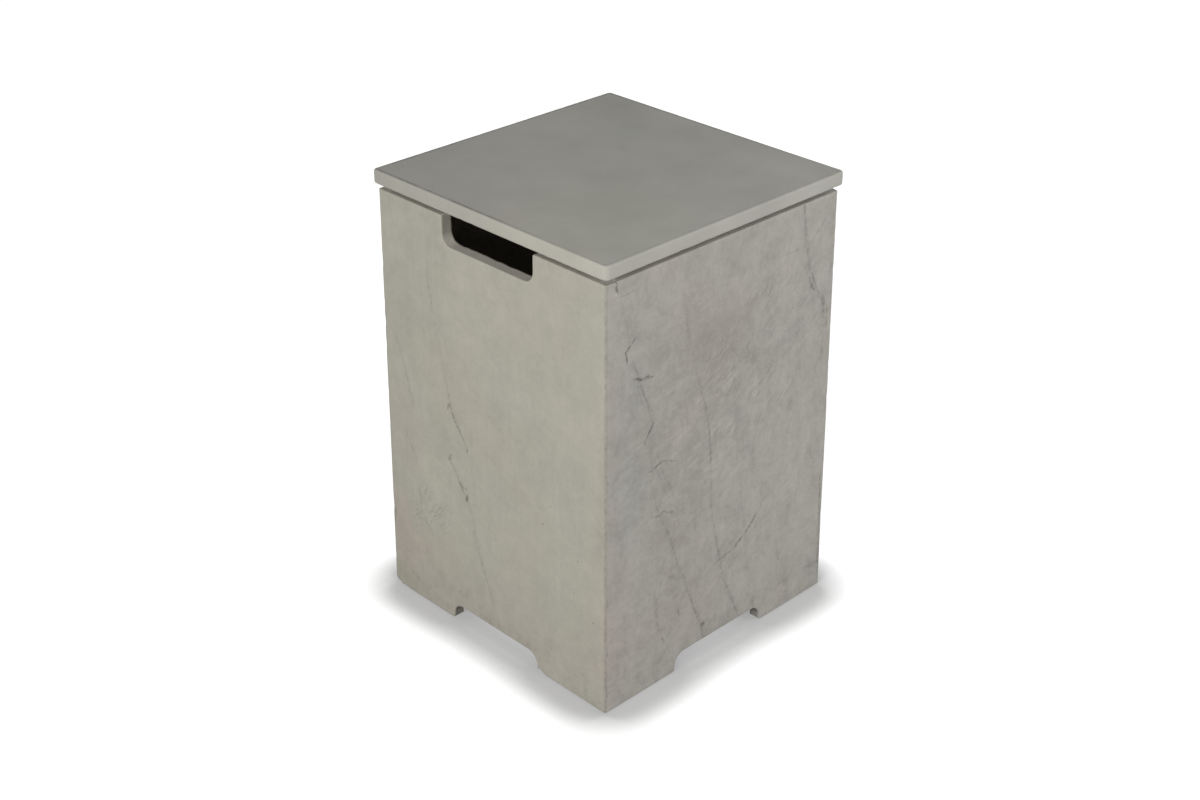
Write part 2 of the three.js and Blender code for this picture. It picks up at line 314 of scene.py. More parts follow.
def wall_sheet(wall):
    """The face, edges and inside of one wall, then of the corner after it, as rows along the wall's section.
    Row order: up the outer face, over the rim, down the inside, out across the foot. Each point has a place
    along the wall, a height, a depth in from the outer face, a distance from the nearest edge, how plain the
    crease beside it is, and its side: 0 outside, 1 on the wall's section and 2 inside."""
    knots, grooves, beside, side_of_crease = wall_columns(wall)
    corner_turn = np.linspace(0, QUARTER, CORNER_COLUMNS + 2)[1:-1]
    columns = len(knots) + CORNER_COLUMNS

    def with_corner(values, corner_value):
        """The values of the wall's columns, and one value for all of the corner's."""
        return np.concatenate((values, np.full(CORNER_COLUMNS, corner_value)))

    def edge_line(edge_z, opening, up):
        """The rim, where up is 1, or the foot, where it is -1: places along it, heights and normals."""
        reach = half_at(edge_z) - OUTER_CORNER_RADIUS
        share = along_wall(wall, knots, np.full((len(knots), 1), edge_z))[:, 0] / reach
        along, drop, normal_along, normal_drop = edge_points(edge_outline(reach, opening), share)
        normal = (with_corner(normal_along, 0.0), -up * with_corner(normal_drop, -1.0))
        return with_corner(along, reach), edge_z - up * with_corner(drop, 0.0), normal

    rim_along, rim_z, rim_normal = edge_line(SHELL_TOP, HAND_SLOT if wall in SLOTTED_WALLS else None, 1)
    foot_along, foot_z, foot_normal = edge_line(SHELL_BASE, FOOT_NOTCH, -1)
    if wall == FRONT:
        place, height, reach, gone = WORN_NOTCH_MOUTH
        low_part = np.clip(1 - (foot_z - SHELL_BASE) / height, 0, 1)
        foot_z = foot_z + gone * low_part * np.exp(-((foot_along - place) / reach) ** 2)
    turn = np.concatenate((np.zeros(len(knots)), corner_turn))

    # Edge rounding, chipped by noise, and a foot corner worn away at the front left
    edge_x = math.cos(wall * QUARTER) * rim_along + math.sin(wall * QUARTER) * RIM_HALF
    edge_y = math.sin(wall * QUARTER) * rim_along - math.cos(wall * QUARTER) * RIM_HALF

    def chipped(base, chip, cell, seed, z, least):
        """An edge's rounding: a little uneven, and much deeper where the noise is above its least value."""
        rough = layered_noise(edge_x, edge_y, z, cell, seed)
        return base * (1 + EDGE_UNEVENNESS * rough) + chip * np.clip(rough - least, 0, 1) ** CHIP_POWER

    outer_chips = (EDGE_ROUND, EDGE_CHIP, EDGE_CHIP_CELL)
    inside_chips = (INSIDE_EDGE_ROUND, INSIDE_EDGE_CHIP, INSIDE_EDGE_CHIP_CELL)
    rim_round = chipped(*outer_chips, RIM_SEED, rim_z, CHIPS_ABOVE)
    rim_round = np.minimum(rim_round, MOST_OF_MOUTH * HAND_SLOT[3])
    foot_round = chipped(*outer_chips, FOOT_SEED, foot_z, CHIPS_ABOVE)
    rim_inside = chipped(*inside_chips, RIM_INSIDE_SEED, rim_z, RIM_INSIDE_CHIPS_ABOVE)
    foot_inside = chipped(*inside_chips, FOOT_INSIDE_SEED, foot_z, CHIPS_ABOVE)
    to_worn_corner = np.full(columns, 1.0)
    if wall == FRONT:
        to_worn_corner = foot_along + FOOT_HALF
    if wall == LEFT:
        to_worn_corner = FOOT_HALF - foot_along
        to_worn_corner[len(knots):] = 0.0
    worn = np.exp(-(to_worn_corner / WORN_FOOT_REACH) ** 2)
    foot_round_height = foot_round + (WORN_FOOT_HEIGHT - foot_round) * worn
    foot_round_depth = foot_round + (WORN_FOOT_DEPTH - foot_round) * worn

    rows = {"along": [], "z": [], "depth": [], "edge": [], "crease": [], "side": []}

    def put(*values):
        """One more row of the sheet: for each of its names, one value or one for each column."""
        for name, value in zip(rows, values):
            rows[name].append(np.broadcast_to(np.asarray(value, float), (columns,)))

    def put_arris(line, angles, height, deep, side):
        """Rows round an arris that takes height off the face and deep off the wall's section."""
        along, z, normal = line
        for angle in angles:
            back = height * (1 - math.sin(angle))
            sunk = deep * (1 - math.cos(angle))
            depth = WALL_THICKNESS - sunk if side else sunk
            put(along - normal[0] * back, z - normal[1] * back, depth, 0, 0, side)

    def put_section(line, levels, outer, inner, seed):
        """Rows across the wall's rough section, between the arrises' depths."""
        along, z, normal = line
        for level in levels:
            across = outer + (WALL_THICKNESS - outer - inner) * level
            uneven = layered_noise(edge_x, edge_y, z + across, SECTION_CELL, seed)
            rough = SECTION_ROUGHNESS * (1 + uneven) * math.sin(level * math.pi)
            put(along - normal[0] * rough, z - normal[1] * rough, across, across, 0, 1)

    def met_at_edges(along, z, low_z, high_z, low_shift, high_shift):
        """Columns whose two ends are moved onto the edges, less and less away from them."""
        low_blend = np.clip(1 - (z - low_z[:, None]) / EDGE_BLEND, 0, 1) ** 2
        high_blend = np.clip(1 - (high_z[:, None] - z) / EDGE_BLEND, 0, 1) ** 2
        return along + low_blend * low_shift[:, None] + high_blend * high_shift[:, None]

    # Outer face: even rows between the two rounded edges, closer together near them
    share = np.linspace(0, 1, FACE_ROWS)
    share = share - ROWS_DRAWN_TO_EDGES * np.sin(2 * np.pi * share)
    low_z = foot_z - foot_normal[1] * foot_round_height
    high_z = rim_z - rim_normal[1] * rim_round
    low_along = foot_along - foot_normal[0] * foot_round_height
    high_along = rim_along - rim_normal[0] * rim_round
    z = low_z[:, None] + (high_z - low_z)[:, None] * share
    knots_all = np.concatenate((knots, np.zeros((CORNER_COLUMNS, knots.shape[1]))))
    knots_all[len(knots):, -1] = 1.0
    along = along_wall(wall, knots_all, z)
    along = met_at_edges(along, z, low_z, high_z, low_along - along[:, 0], high_along - along[:, -1])
    groove = np.zeros_like(along)
    plainness = np.zeros_like(along)
    for number, crease in enumerate(CREASES[wall]):
        plain = crease_line(crease, z)[1]
        groove = np.maximum(groove, with_corner(grooves[:, number], 0.0)[:, None] * plain)
        plainness = np.maximum(plainness, with_corner(beside[:, number], 0.0)[:, None] * plain)
    uneven = GROOVE_MEAN + GROOVE_SPREAD * layered_noise(along, z, 0 * z + wall, GROOVE_CELL, GROOVE_SEED)
    groove = groove * np.clip(uneven, GROOVE_LEAST, 1)
    wave = layered_noise(along + wall, z, 0 * z, FACE_WAVE_CELL, FACE_SEED)
    depth = FACE_WAVE * (0.5 + 0.5 * wave) + GROOVE_DEPTH * groove
    edge_fade = np.minimum(z - low_z[:, None], high_z[:, None] - z)
    depth = depth * np.clip(edge_fade / FACE_FADE, 0, 1)
    for row in range(FACE_ROWS):
        put(along[:, row], z[:, row], depth[:, row], edge_fade[:, row], plainness[:, row], 0)

    # Rim: rounded outer edge, rough top, rounded inner edge
    bend = np.linspace(0, QUARTER, EDGE_ROWS + 1)[1:]
    rim_line = (rim_along, rim_z, rim_normal)
    put_arris(rim_line, bend, rim_round, rim_round, 0)
    inward = np.linspace(0, 1, THICKNESS_ROWS + 2)[1:-1]
    put_section(rim_line, inward, rim_round, rim_inside, RIM_TOP_SEED)
    put_arris(rim_line, bend[::-1], rim_inside, rim_inside, 2)

    # Inside: rough rows down to the foot
    high_z = rim_z - rim_normal[1] * rim_inside
    low_z = foot_z - foot_normal[1] * foot_inside
    z = low_z[:, None] + (high_z - low_z)[:, None] * np.linspace(1, 0, INSIDE_ROWS)
    along = along_wall(wall, knots_all, z)
    low_shift = foot_along - foot_normal[0] * foot_inside - along[:, -1]
    high_shift = rim_along - rim_normal[0] * rim_inside - along[:, 0]
    along = met_at_edges(along, z, low_z, high_z, low_shift, high_shift)
    rough = layered_noise(along + 3 * wall, z, 0 * z, INSIDE_CELL, INSIDE_SEED)
    edge_fade = np.minimum(z - low_z[:, None], high_z[:, None] - z)
    depth = WALL_THICKNESS + INSIDE_ROUGHNESS * (rough - 0.5) * np.clip(edge_fade / INSIDE_FADE, 0, 1)
    for row in range(INSIDE_ROWS):
        put(along[:, row], z[:, row], depth[:, row], edge_fade[:, row], 0, 2)

    # Foot: rounded inner edge, rough sole, rounded outer edge
    foot_line = (foot_along, foot_z, foot_normal)
    put_arris(foot_line, bend, foot_inside, foot_inside, 2)
    outward = np.linspace(1, 0, THICKNESS_ROWS + 2)[1:-1]
    put_section(foot_line, outward, foot_round_depth, foot_inside, SOLE_SEED)
    put_arris(foot_line, bend[:0:-1], foot_round_height, foot_round_depth, 0)

    sheet = {name: np.stack(values, axis=1) for name, values in rows.items()}
    sheet["turn"] = np.broadcast_to(turn[:, None], sheet["z"].shape)
    sheet["wall"] = np.full(sheet["z"].shape, float(wall))
    sheet["side_of_crease"] = np.broadcast_to(with_corner(side_of_crease, 1.0)[:, None], sheet["z"].shape)
    return sheet


def shell_points(sheet):
    """Plan places of the sheet's points. The outer point lies on a square with small round corners, the inner
    one on the ray from the centre of the wide inner corner arc, and a depth moves from one to the other."""
    half = half_at(sheet["z"])
    centre = half - OUTER_CORNER_RADIUS
    outer_along = sheet["along"] + OUTER_CORNER_RADIUS * np.sin(sheet["turn"])
    outer_out = centre + OUTER_CORNER_RADIUS * np.cos(sheet["turn"])
    inner_centre = half - WALL_THICKNESS - INNER_CORNER_RADIUS
    ray_along = outer_along - np.clip(outer_along, -inner_centre, inner_centre)
    ray_out = outer_out - inner_centre
    length = np.hypot(ray_along, ray_out)
    inner_along = outer_along - ray_along * (1 - INNER_CORNER_RADIUS / length)
    inner_out = inner_centre + ray_out * INNER_CORNER_RADIUS / length
    share = sheet["depth"] / WALL_THICKNESS
    along = outer_along + (inner_along - outer_along) * share
    out = outer_out + (inner_out - outer_out) * share
    angle = sheet["wall"] * QUARTER
    x = np.cos(angle) * along + np.sin(angle) * out
    y = np.sin(angle) * along - np.cos(angle) * out
    return x, y, outer_along


def new_piece(name, points, faces, smooth=True):
    """An object whose place is in its mesh, from arrays of points and faces."""
    mesh = bpy.data.meshes.new(name)
    mesh.from_pydata(points.tolist(), [], faces)
    mesh.update()
    if smooth:
        mesh.polygons.foreach_set("use_smooth", np.ones(len(mesh.polygons), bool))
    piece = bpy.data.objects.new(name, mesh)
    bpy.context.scene.collection.objects.link(piece)
    return piece


def grid_faces(columns, rows, close_columns, close_rows):
    """Quads of a grid whose points are stored column by column, closed on itself where asked."""
    i = np.arange(columns if close_columns else columns - 1)[:, None]
    j = np.arange(rows if close_rows else rows - 1)[None, :]
    a = i * rows + j
    b = (i + 1) % columns * rows + j
    c = (i + 1) % columns * rows + (j + 1) % rows
    d = i * rows + (j + 1) % rows
    return np.stack((a, b, c, d), axis=-1).reshape(-1, 4)


def capped_faces(columns, rows, low_pole, high_pole):
    """Quads of a grid that is closed round, and the fans of triangles that close it at a pole below its first
    row and at one above its last."""
    faces = grid_faces(columns, rows, True, False).tolist()
    first = np.arange(columns) * rows
    after = np.roll(first, -1)
    faces += [(low_pole, b, a) for a, b in zip(first.tolist(), after.tolist())]
    faces += [(high_pole, a, b) for a, b in zip((first + rows - 1).tolist(), (after + rows - 1).tolist())]
    return faces


def set_attribute(piece, name, values):
    """One number for each point of the piece, for its material."""
    attribute = piece.data.attributes.new(name, "FLOAT", "POINT")
    attribute.data.foreach_set("value", np.asarray(values, np.float32).ravel())


def set_wall_map(piece, along, z):
    """The piece's own flat map: distance round the walls and height, given for each corner of each face."""
    layer = piece.data.uv_layers.new(name="wall_map")
    layer.data.foreach_set("uv", np.column_stack((along.ravel(), z.ravel())).astype(np.float32).ravel())


def make_shell():
    """The cast shell: one closed sheet that goes round the four walls and round the wall's own section."""
    sheets = [wall_sheet(wall) for wall in WALLS]
    sheet = {name: np.concatenate([s[name] for s in sheets]) for name in sheets[0]}
    x, y, outer_along = shell_points(sheet)
    columns, rows = x.shape

    # Small chips and a soft waver down the four upright corners
    to_corner = np.maximum(half_at(sheet["z"]) - np.abs(outer_along), 0)
    corner = np.clip(1 - to_corner / CORNER_CHIP_BAND, 0, 1)
    rough = layered_noise(x, y, sheet["z"], CORNER_CHIP_CELL, CORNER_SEED)
    chip = np.clip(rough - CORNER_CHIPS_ABOVE, 0, 1)
    shrink = 1 - corner * (CORNER_WORN_SHARE + CORNER_CHIP_SHARE * chip) * (sheet["side"] == 0)
    x, y = x * shrink, y * shrink

    points = np.stack((x, y, sheet["z"]), axis=-1).reshape(-1, 3)
    faces = grid_faces(columns, rows, True, True)
    shell = new_piece("cast_shell", points, faces.tolist())

    # What the cement needs to know of each point
    from_edge = np.maximum(sheet["edge"], 0)
    edge = np.exp(-(from_edge / WORN_EDGE_REACH) ** WORN_POWER) * (sheet["side"] < 2)
    upright = np.exp(-(to_corner / WORN_CORNER_REACH) ** WORN_POWER) * (sheet["side"] == 0)
    set_attribute(shell, "edge", np.maximum(edge, upright))
    set_attribute(shell, "crease", sheet["crease"])
    set_attribute(shell, "side_of_crease", sheet["side_of_crease"])
    from_corner = np.minimum(to_corner / CORNER_BAND, 1)
    set_attribute(shell, "from_corner", np.where(sheet["side"] == 0, from_corner, 1.0))
    set_attribute(shell, "inside", (sheet["side"] > 0) * 0.5 + (sheet["side"] > 1) * 0.5)

    # Faces off the outer side get a map of their own, far from the marks
    low_row = faces[:, 0] % rows
    column = faces[:, 0] // rows
    far = np.where(low_row < FACE_ROWS + EDGE_ROWS - 1, 0.0, FAR_MAP)
    wall_of_face = sheet["wall"][column, 0]
    next_wall = (column + 1) % columns
    crossing = (sheet["wall"][next_wall, 0] != wall_of_face)[:, None] * np.array((0, 1, 1, 0))
    corner_along = outer_along.ravel()[faces] + crossing * 2 * half_at(sheet["z"].ravel()[faces])
    round_walls = wall_of_face[:, None] * WALL_PITCH + FOOT_HALF + corner_along + far[:, None]
    set_wall_map(shell, round_walls, sheet["z"].ravel()[faces])
    return shell


# Slab lid
LID_THICKNESS = LID_HIGH.z - LID_LOW.z
LID_CORNER_RADIUS = 6 * MM
LID_EDGE_RADIUS = 2.5 * MM
LID_SIDE_COLUMNS = 84
LID_CORNER_COLUMNS = 9
LID_FACE_RINGS = 34
LID_EDGE_RINGS = 7
LID_SIDE_RINGS = 7
LID_WAVE = 0.16 * MM
LID_WAVE_CELL = 120 * MM
LID_RIPPLE_CELL = 28 * MM
LID_CHIP = 1.1 * MM
LID_CHIP_CELL = 10 * MM
LID_FACE_RINGS_POWER = 0.75
LID_RADIUS_LEAST = 0.2 * MM
LID_FACE_FILM = 0.01 * MM
LID_EDGE_LEAST = 0.05
LID_SIDE_WAVE, LID_SIDE_RIPPLE = 0.5, 0.4
LID_FACE_WAVE, LID_FACE_RIPPLE, LID_CHIP_DROP = 0.7, 0.3, 0.7
LID_BRIM = 2.0 * MM
LID_BRIM_DARKNESS = (0.5, 1.0, 0.7)


def round_square(inset):
    """The x and y of a square ring with round corners, drawn in by an inset, from wall to wall."""
    half = LID_HALF - inset
    radius = max(LID_CORNER_RADIUS - inset, LID_RADIUS_LEAST)
    straight = np.linspace(-(half - radius), half - radius, LID_SIDE_COLUMNS)
    turn = np.linspace(0, QUARTER, LID_CORNER_COLUMNS + 2)[1:-1]
    along = np.concatenate((straight, half - radius + radius * np.sin(turn)))
    out = np.concatenate((np.full(LID_SIDE_COLUMNS, half), half - radius + radius * np.cos(turn)))
    x, y = [], []
    for wall in WALLS:
        angle = wall * QUARTER
        x.append(math.cos(angle) * along + math.sin(angle) * out)
        y.append(math.sin(angle) * along - math.cos(angle) * out)
    return np.concatenate(x), np.concatenate(y)


def make_lid():
    """The slab: round square rings from the middle of the underside out, over its rounded edges and back
    to the middle of the top. Each ring is the outline drawn in by an inset, and on the faces shrunk by a
    share."""
    bend = np.linspace(0, QUARTER, LID_EDGE_RINGS)
    face_share = np.linspace(0, 1, LID_FACE_RINGS + 1)[1:] ** LID_FACE_RINGS_POWER
    radius = LID_EDGE_RADIUS
    rings = [(radius, share, LID_LOW.z, 0) for share in face_share]
    for angle in bend[1:]:
        rings.append((radius * (1 - math.sin(angle)), 1, LID_LOW.z + radius * (1 - math.cos(angle)),
                      math.sin(2 * angle)))
    side = np.linspace(LID_LOW.z + radius, LID_HIGH.z - radius, LID_SIDE_RINGS + 2)[1:-1]
    rings += [(0, 1, height, 0) for height in side]
    for angle in bend:
        rings.append((radius * (1 - math.cos(angle)), 1, LID_HIGH.z - radius * (1 - math.sin(angle)),
                      math.sin(2 * angle)))
    rings.append((radius, 1 - LID_BRIM / (LID_HALF - radius), LID_HIGH.z, 0))
    rings += [(radius, share, LID_HIGH.z, 0) for share in face_share[-2::-1]]
    x, y, z, edge = [], [], [], []
    for inset, share, height, edge_share in rings:
        ring_x, ring_y = round_square(inset)
        x.append(ring_x * share)
        y.append(ring_y * share)
        z.append(np.full(len(ring_x), height))
        edge.append(np.full(len(ring_x), edge_share))
    x, y, z, edge = (np.stack(values, axis=1) for values in (x, y, z, edge))
    middle = 0.5 * (LID_LOW.z + LID_HIGH.z)
    chip = np.clip(layered_noise(x, y, z, LID_CHIP_CELL, LID_CHIP_SEED) - LID_CHIPS_ABOVE, 0, 1) * edge
    wave = 0.5 + 0.5 * layered_noise(x, y, z, LID_WAVE_CELL, LID_WAVE_SEED)
    ripple = 0.5 + 0.5 * layered_noise(x, y, z, LID_RIPPLE_CELL, LID_RIPPLE_SEED)
    side_wave = LID_SIDE_WAVE * LID_WAVE * (wave + LID_SIDE_RIPPLE * ripple) * (edge > LID_EDGE_LEAST)
    shrink = 1 - (LID_CHIP * chip + side_wave) / LID_HALF
    on_face = np.abs(z - middle) > 0.5 * LID_THICKNESS - LID_FACE_FILM
    face_wave = LID_WAVE * (LID_FACE_WAVE * wave + LID_FACE_RIPPLE * ripple) * on_face
    z = z - np.sign(z - middle) * (face_wave + LID_CHIP_DROP * LID_CHIP * chip)
    x, y = x * shrink, y * shrink
    columns, rows = x.shape
    points = np.stack((x, y, z), axis=-1).reshape(-1, 3)
    poles = np.array(((0, 0, LID_LOW.z), (0, 0, LID_HIGH.z - 0.5 * LID_WAVE)))
    faces = capped_faces(columns, rows, len(points), len(points) + 1)
    lid = new_piece("slab_lid", np.concatenate((points, poles)), faces)
    set_attribute(lid, "edge", np.concatenate((edge.ravel(), np.zeros(2))))
    brim = np.zeros(rows)
    brim[rows - LID_FACE_RINGS - 2:rows - LID_FACE_RINGS + 1] = LID_BRIM_DARKNESS
    set_attribute(lid, "brim", np.concatenate((np.broadcast_to(brim, x.shape).ravel(), np.zeros(2))))
    return lid


# Rubber pads and corner locators
PAD_COLUMNS = 48
PAD_EDGE = 0.4 * MM
PAD_POLE_SHARE = 0.04
PAD_UNDER_RINGS = 6
PAD_TOP_RINGS = 12
PAD_GROOVE_SHARE = 0.6
PAD_GROOVE_WIDTH = 0.09
ROUNDED_STEPS = 5
LOCATOR_LEG = 62 * MM
LOCATOR_WIDTH = 14 * MM
LOCATOR_CLEARANCE = 3 * MM
LOCATOR_LEAD_IN = 2 * MM
LOCATOR_LEAD_HEIGHT = 6 * MM
LOCATOR_ROUND = 1.4 * MM
LOCATOR_STATIONS = 14
CORNERS = ("back_right", "back_left", "front_left", "front_right")


def make_round_pad(name, node, dome, groove):
    """A moulded pad: a profile turned about its upright axis. The profile runs from the middle below, out
    with an eased edge, up, and back over a top that swells by the dome and dips by the ring-shaped groove."""
    low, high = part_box(node)
    radius = 0.5 * (high.x - low.x)
    centre = (low + high) / 2
    bend = np.linspace(0, QUARTER, ROUNDED_STEPS)
    outward = np.linspace(PAD_POLE_SHARE, 1, PAD_UNDER_RINGS) * (radius - PAD_EDGE)
    inward = np.linspace(radius - PAD_EDGE, PAD_POLE_SHARE * radius, PAD_TOP_RINGS)
    crown = high.z - dome + dome * (1 - (inward / radius) ** 2)
    from_groove = (inward - PAD_GROOVE_SHARE * radius) / (PAD_GROOVE_WIDTH * radius)
    crown = crown - groove * np.exp(-from_groove ** 2)
    r = np.concatenate((outward, radius - PAD_EDGE * (1 - np.sin(bend[1:])),
                        radius - PAD_EDGE * (1 - np.cos(bend)), inward[1:]))
    z = np.concatenate((np.full(PAD_UNDER_RINGS, low.z), low.z + PAD_EDGE * (1 - np.cos(bend[1:])),
                        crown[0] - PAD_EDGE * (1 - np.sin(bend)), crown[1:]))
    turn = np.linspace(0, 2 * np.pi, PAD_COLUMNS, endpoint=False)[:, None]
    x = centre.x + r * np.cos(turn)
    y = centre.y + r * np.sin(turn)
    rows = len(r)
    points = np.stack((x, y, np.broadcast_to(z, x.shape)), axis=-1).reshape(-1, 3)
    poles = np.array(((centre.x, centre.y, low.z), (centre.x, centre.y, crown[-1])))
    faces = capped_faces(PAD_COLUMNS, rows, len(points), len(points) + 1)
    return new_piece(name, np.concatenate((points, poles)), faces)


def make_locator(name, node, quarter):
    """A corner block: a section with round corners carried along one leg, round the corner arc and along the
    other leg. It is drawn in at its foot, as a lead-in, and at both ends."""
    low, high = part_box(node)
    inner_centre = RIM_HALF - WALL_THICKNESS - INNER_CORNER_RADIUS
    outer_radius = INNER_CORNER_RADIUS - LOCATOR_CLEARANCE
    half_width = LOCATOR_WIDTH / 2
    middle_radius = outer_radius - half_width
    leg = LOCATOR_LEG - outer_radius
    height = high.z - low.z
    bend = np.linspace(0, QUARTER, ROUNDED_STEPS)
    end_bend = bend[:-1]
    end_inset = LOCATOR_ROUND * (1 - np.sin(end_bend))
    end_place = LOCATOR_ROUND * (1 - np.cos(end_bend))
    run = np.linspace(LOCATOR_ROUND, leg, LOCATOR_STATIONS)
    start = np.concatenate((end_place, run))
    arc = np.linspace(0, QUARTER, LOCATOR_STATIONS)[1:-1]
    zero = np.zeros_like(start)
    stations = len(start) * 2 + len(arc)
    angle = np.concatenate((zero, arc, zero + QUARTER))
    back = np.concatenate((leg - start, 0 * arc, (leg - start)[::-1]))
    inset = np.concatenate((end_inset, 0 * run, 0 * arc, 0 * run, end_inset[::-1]))
    side = np.concatenate((zero - 1, 0 * arc, zero + 1))
    corner = LOCATOR_ROUND
    lead_share = np.linspace(0, 1, ROUNDED_STEPS)
    lead_z = LOCATOR_LEAD_HEIGHT * lead_share
    lead_in = LOCATOR_LEAD_IN * (1 - lead_share)
    foot = half_width - LOCATOR_LEAD_IN
    across = np.concatenate((foot - corner * (1 - np.sin(end_bend)), half_width - lead_in[1:], (half_width,),
                             half_width - corner * (1 - np.cos(bend))))
    up = np.concatenate((corner * (1 - np.cos(end_bend)), np.maximum(lead_z[1:], corner), (height - corner,),
                         height - corner * (1 - np.sin(bend))))
    across = np.concatenate((across, -across[::-1]))
    up = np.concatenate((up, up[::-1]))
    shrink = 1 - inset[:, None] / half_width
    offset = across * shrink
    lift = low.z + height / 2 + (up - height / 2) * (1 - inset[:, None] / (height / 2))
    ring = middle_radius + offset
    x = inner_centre + ring * np.cos(angle)[:, None] + np.where(side > 0, -back, 0.0)[:, None]
    y = inner_centre + ring * np.sin(angle)[:, None] + np.where(side < 0, -back, 0.0)[:, None]
    rows = len(across)
    turn = quarter * QUARTER
    turned_x = math.cos(turn) * x - math.sin(turn) * y
    turned_y = math.sin(turn) * x + math.cos(turn) * y
    points = np.stack((turned_x, turned_y, lift), axis=-1).reshape(-1, 3)
    faces = grid_faces(stations, rows, False, True).tolist()
    faces.append(tuple(range(rows)))
    faces.append(tuple(reversed(range((stations - 1) * rows, stations * rows))))
    return new_piece(name, points, faces)


# Shader building
def node(tree, kind, inputs=None, **settings):
    """One shader node, with its settings and its inputs, each a value or another node's output."""
    made = tree.nodes.new("ShaderNode" + kind)
    for name, value in settings.items():
        setattr(made, name, value)
    for key, value in (inputs or {}).items():
        if isinstance(value, bpy.types.NodeSocket):
            tree.links.new(value, made.inputs[key])
        else:
            made.inputs[key].default_value = value
    return made


def maths(tree, operation, first, second=None, third=None, clamp=False):
    """The output of one Math node."""
    values = {key: value for key, value in enumerate((first, second, third)) if value is not None}
    return node(tree, "Math", values, operation=operation, use_clamp=clamp).outputs[0]


def vector(tree, operation, first, second=None):
    """The output of one Vector Math node: a number for a dot product, a distance or a length."""
    second_socket = "Scale" if operation == "SCALE" else 1
    values = {0: first} if second is None else {0: first, second_socket: second}
    outputs = node(tree, "VectorMath", values, operation=operation).outputs
    return outputs["Value" if operation in ("DOT_PRODUCT", "DISTANCE", "LENGTH") else "Vector"]


def attribute(tree, name):
    """A number that the mesh holds for each of its points."""
    return node(tree, "Attribute", attribute_name=name).outputs["Fac"]


def blend_colour(tree, share, first, second, mode="MIX"):
    """The output of one colour Mix node."""
    made = node(tree, "Mix", {0: share, 6: first, 7: second}, data_type="RGBA", blend_type=mode)
    return made.outputs[2]


def noise(tree, place, scale, detail=3.0, roughness=0.55, distortion=0.0):
    """The value of one Noise Texture."""
    made = node(tree, "TexNoise", {"Vector": place, "Scale": scale, "Detail": detail, "Roughness": roughness,
                                   "Distortion": distortion})
    return made.outputs[0]


def scaled(tree, value, low, high, to_low=0.0, to_high=1.0, soft=True):
    """A value carried from one range to another, softly unless told otherwise, and held at its ends."""
    made = node(tree, "MapRange", {0: value, 1: low, 2: high, 3: to_low, 4: to_high},
                interpolation_type="SMOOTHSTEP" if soft else "LINEAR")
    return made.outputs[0]


def new_group(name, inputs, outputs):
    """A shader node group with its named inputs and outputs: (tree, input sockets by name, output node)."""
    tree = bpy.data.node_groups.new(name, "ShaderNodeTree")
    for socket, kind in inputs:
        tree.interface.new_socket(name=socket, in_out="INPUT", socket_type="NodeSocket" + kind)
    for socket, kind in outputs:
        tree.interface.new_socket(name=socket, in_out="OUTPUT", socket_type="NodeSocket" + kind)
    source = tree.nodes.new("NodeGroupInput")
    result = tree.nodes.new("NodeGroupOutput")
    return tree, source.outputs, result


# Noises: cells a metre, detail, roughness and distortion
TINT_NOISE = (6.0, 3.0, 0.55, 0.6)
CLOUD_NOISE = (30.0, 5.0, 0.9, 0.3)
DRIFT_NOISE = (11.0, 2.0, 0.5)
PATCH_NOISE = (30.0, 3.0, 0.6)

# The same without the cells, which each sweep gives
SWEEP_NOISE = (3.0, 0.65, 0.35)
SWEEP_STRETCH = (0.15, 1.0, 1.0)

# Ranges: a value's low and high, and what it is there where that isn't 0 and 1
STROKE_TAPER = (0.2, 0.5, 1.0, 0.55)
HOLE_SIZES = (0.0, 1.0, 0.45, 1.0)
HOLE_RIM = (0.0, 0.55)
WARM_PART = (0.50, 0.68)
COOL_PART = (0.50, 0.34)
STAIN_FADE = (1.0, 0.25)
STREAKED_PART = (0.46, 0.72)
SWEPT_PART = (0.38, 0.62)
SWEEP_FADE = (1.0, 0.35)


def share_of_reach(tree, given):
    """How far Place is from Centre, as a share of Reach."""
    offset = vector(tree, "SUBTRACT", given["Place"], given["Centre"])
    return vector(tree, "LENGTH", vector(tree, "DIVIDE", offset, given["Reach"]))


def jostled(tree, place, source, scale, detail, size):
    """A place pushed about along the wall by a coloured noise, up to half of size each way."""
    push = node(tree, "TexNoise", {"Vector": source, "Scale": scale, "Detail": detail}).outputs["Color"]
    push = vector(tree, "SUBTRACT", push, (0.5, 0.5, 0.5))
    return vector(tree, "ADD", place, vector(tree, "MULTIPLY", push, (size, size, 0.0)))


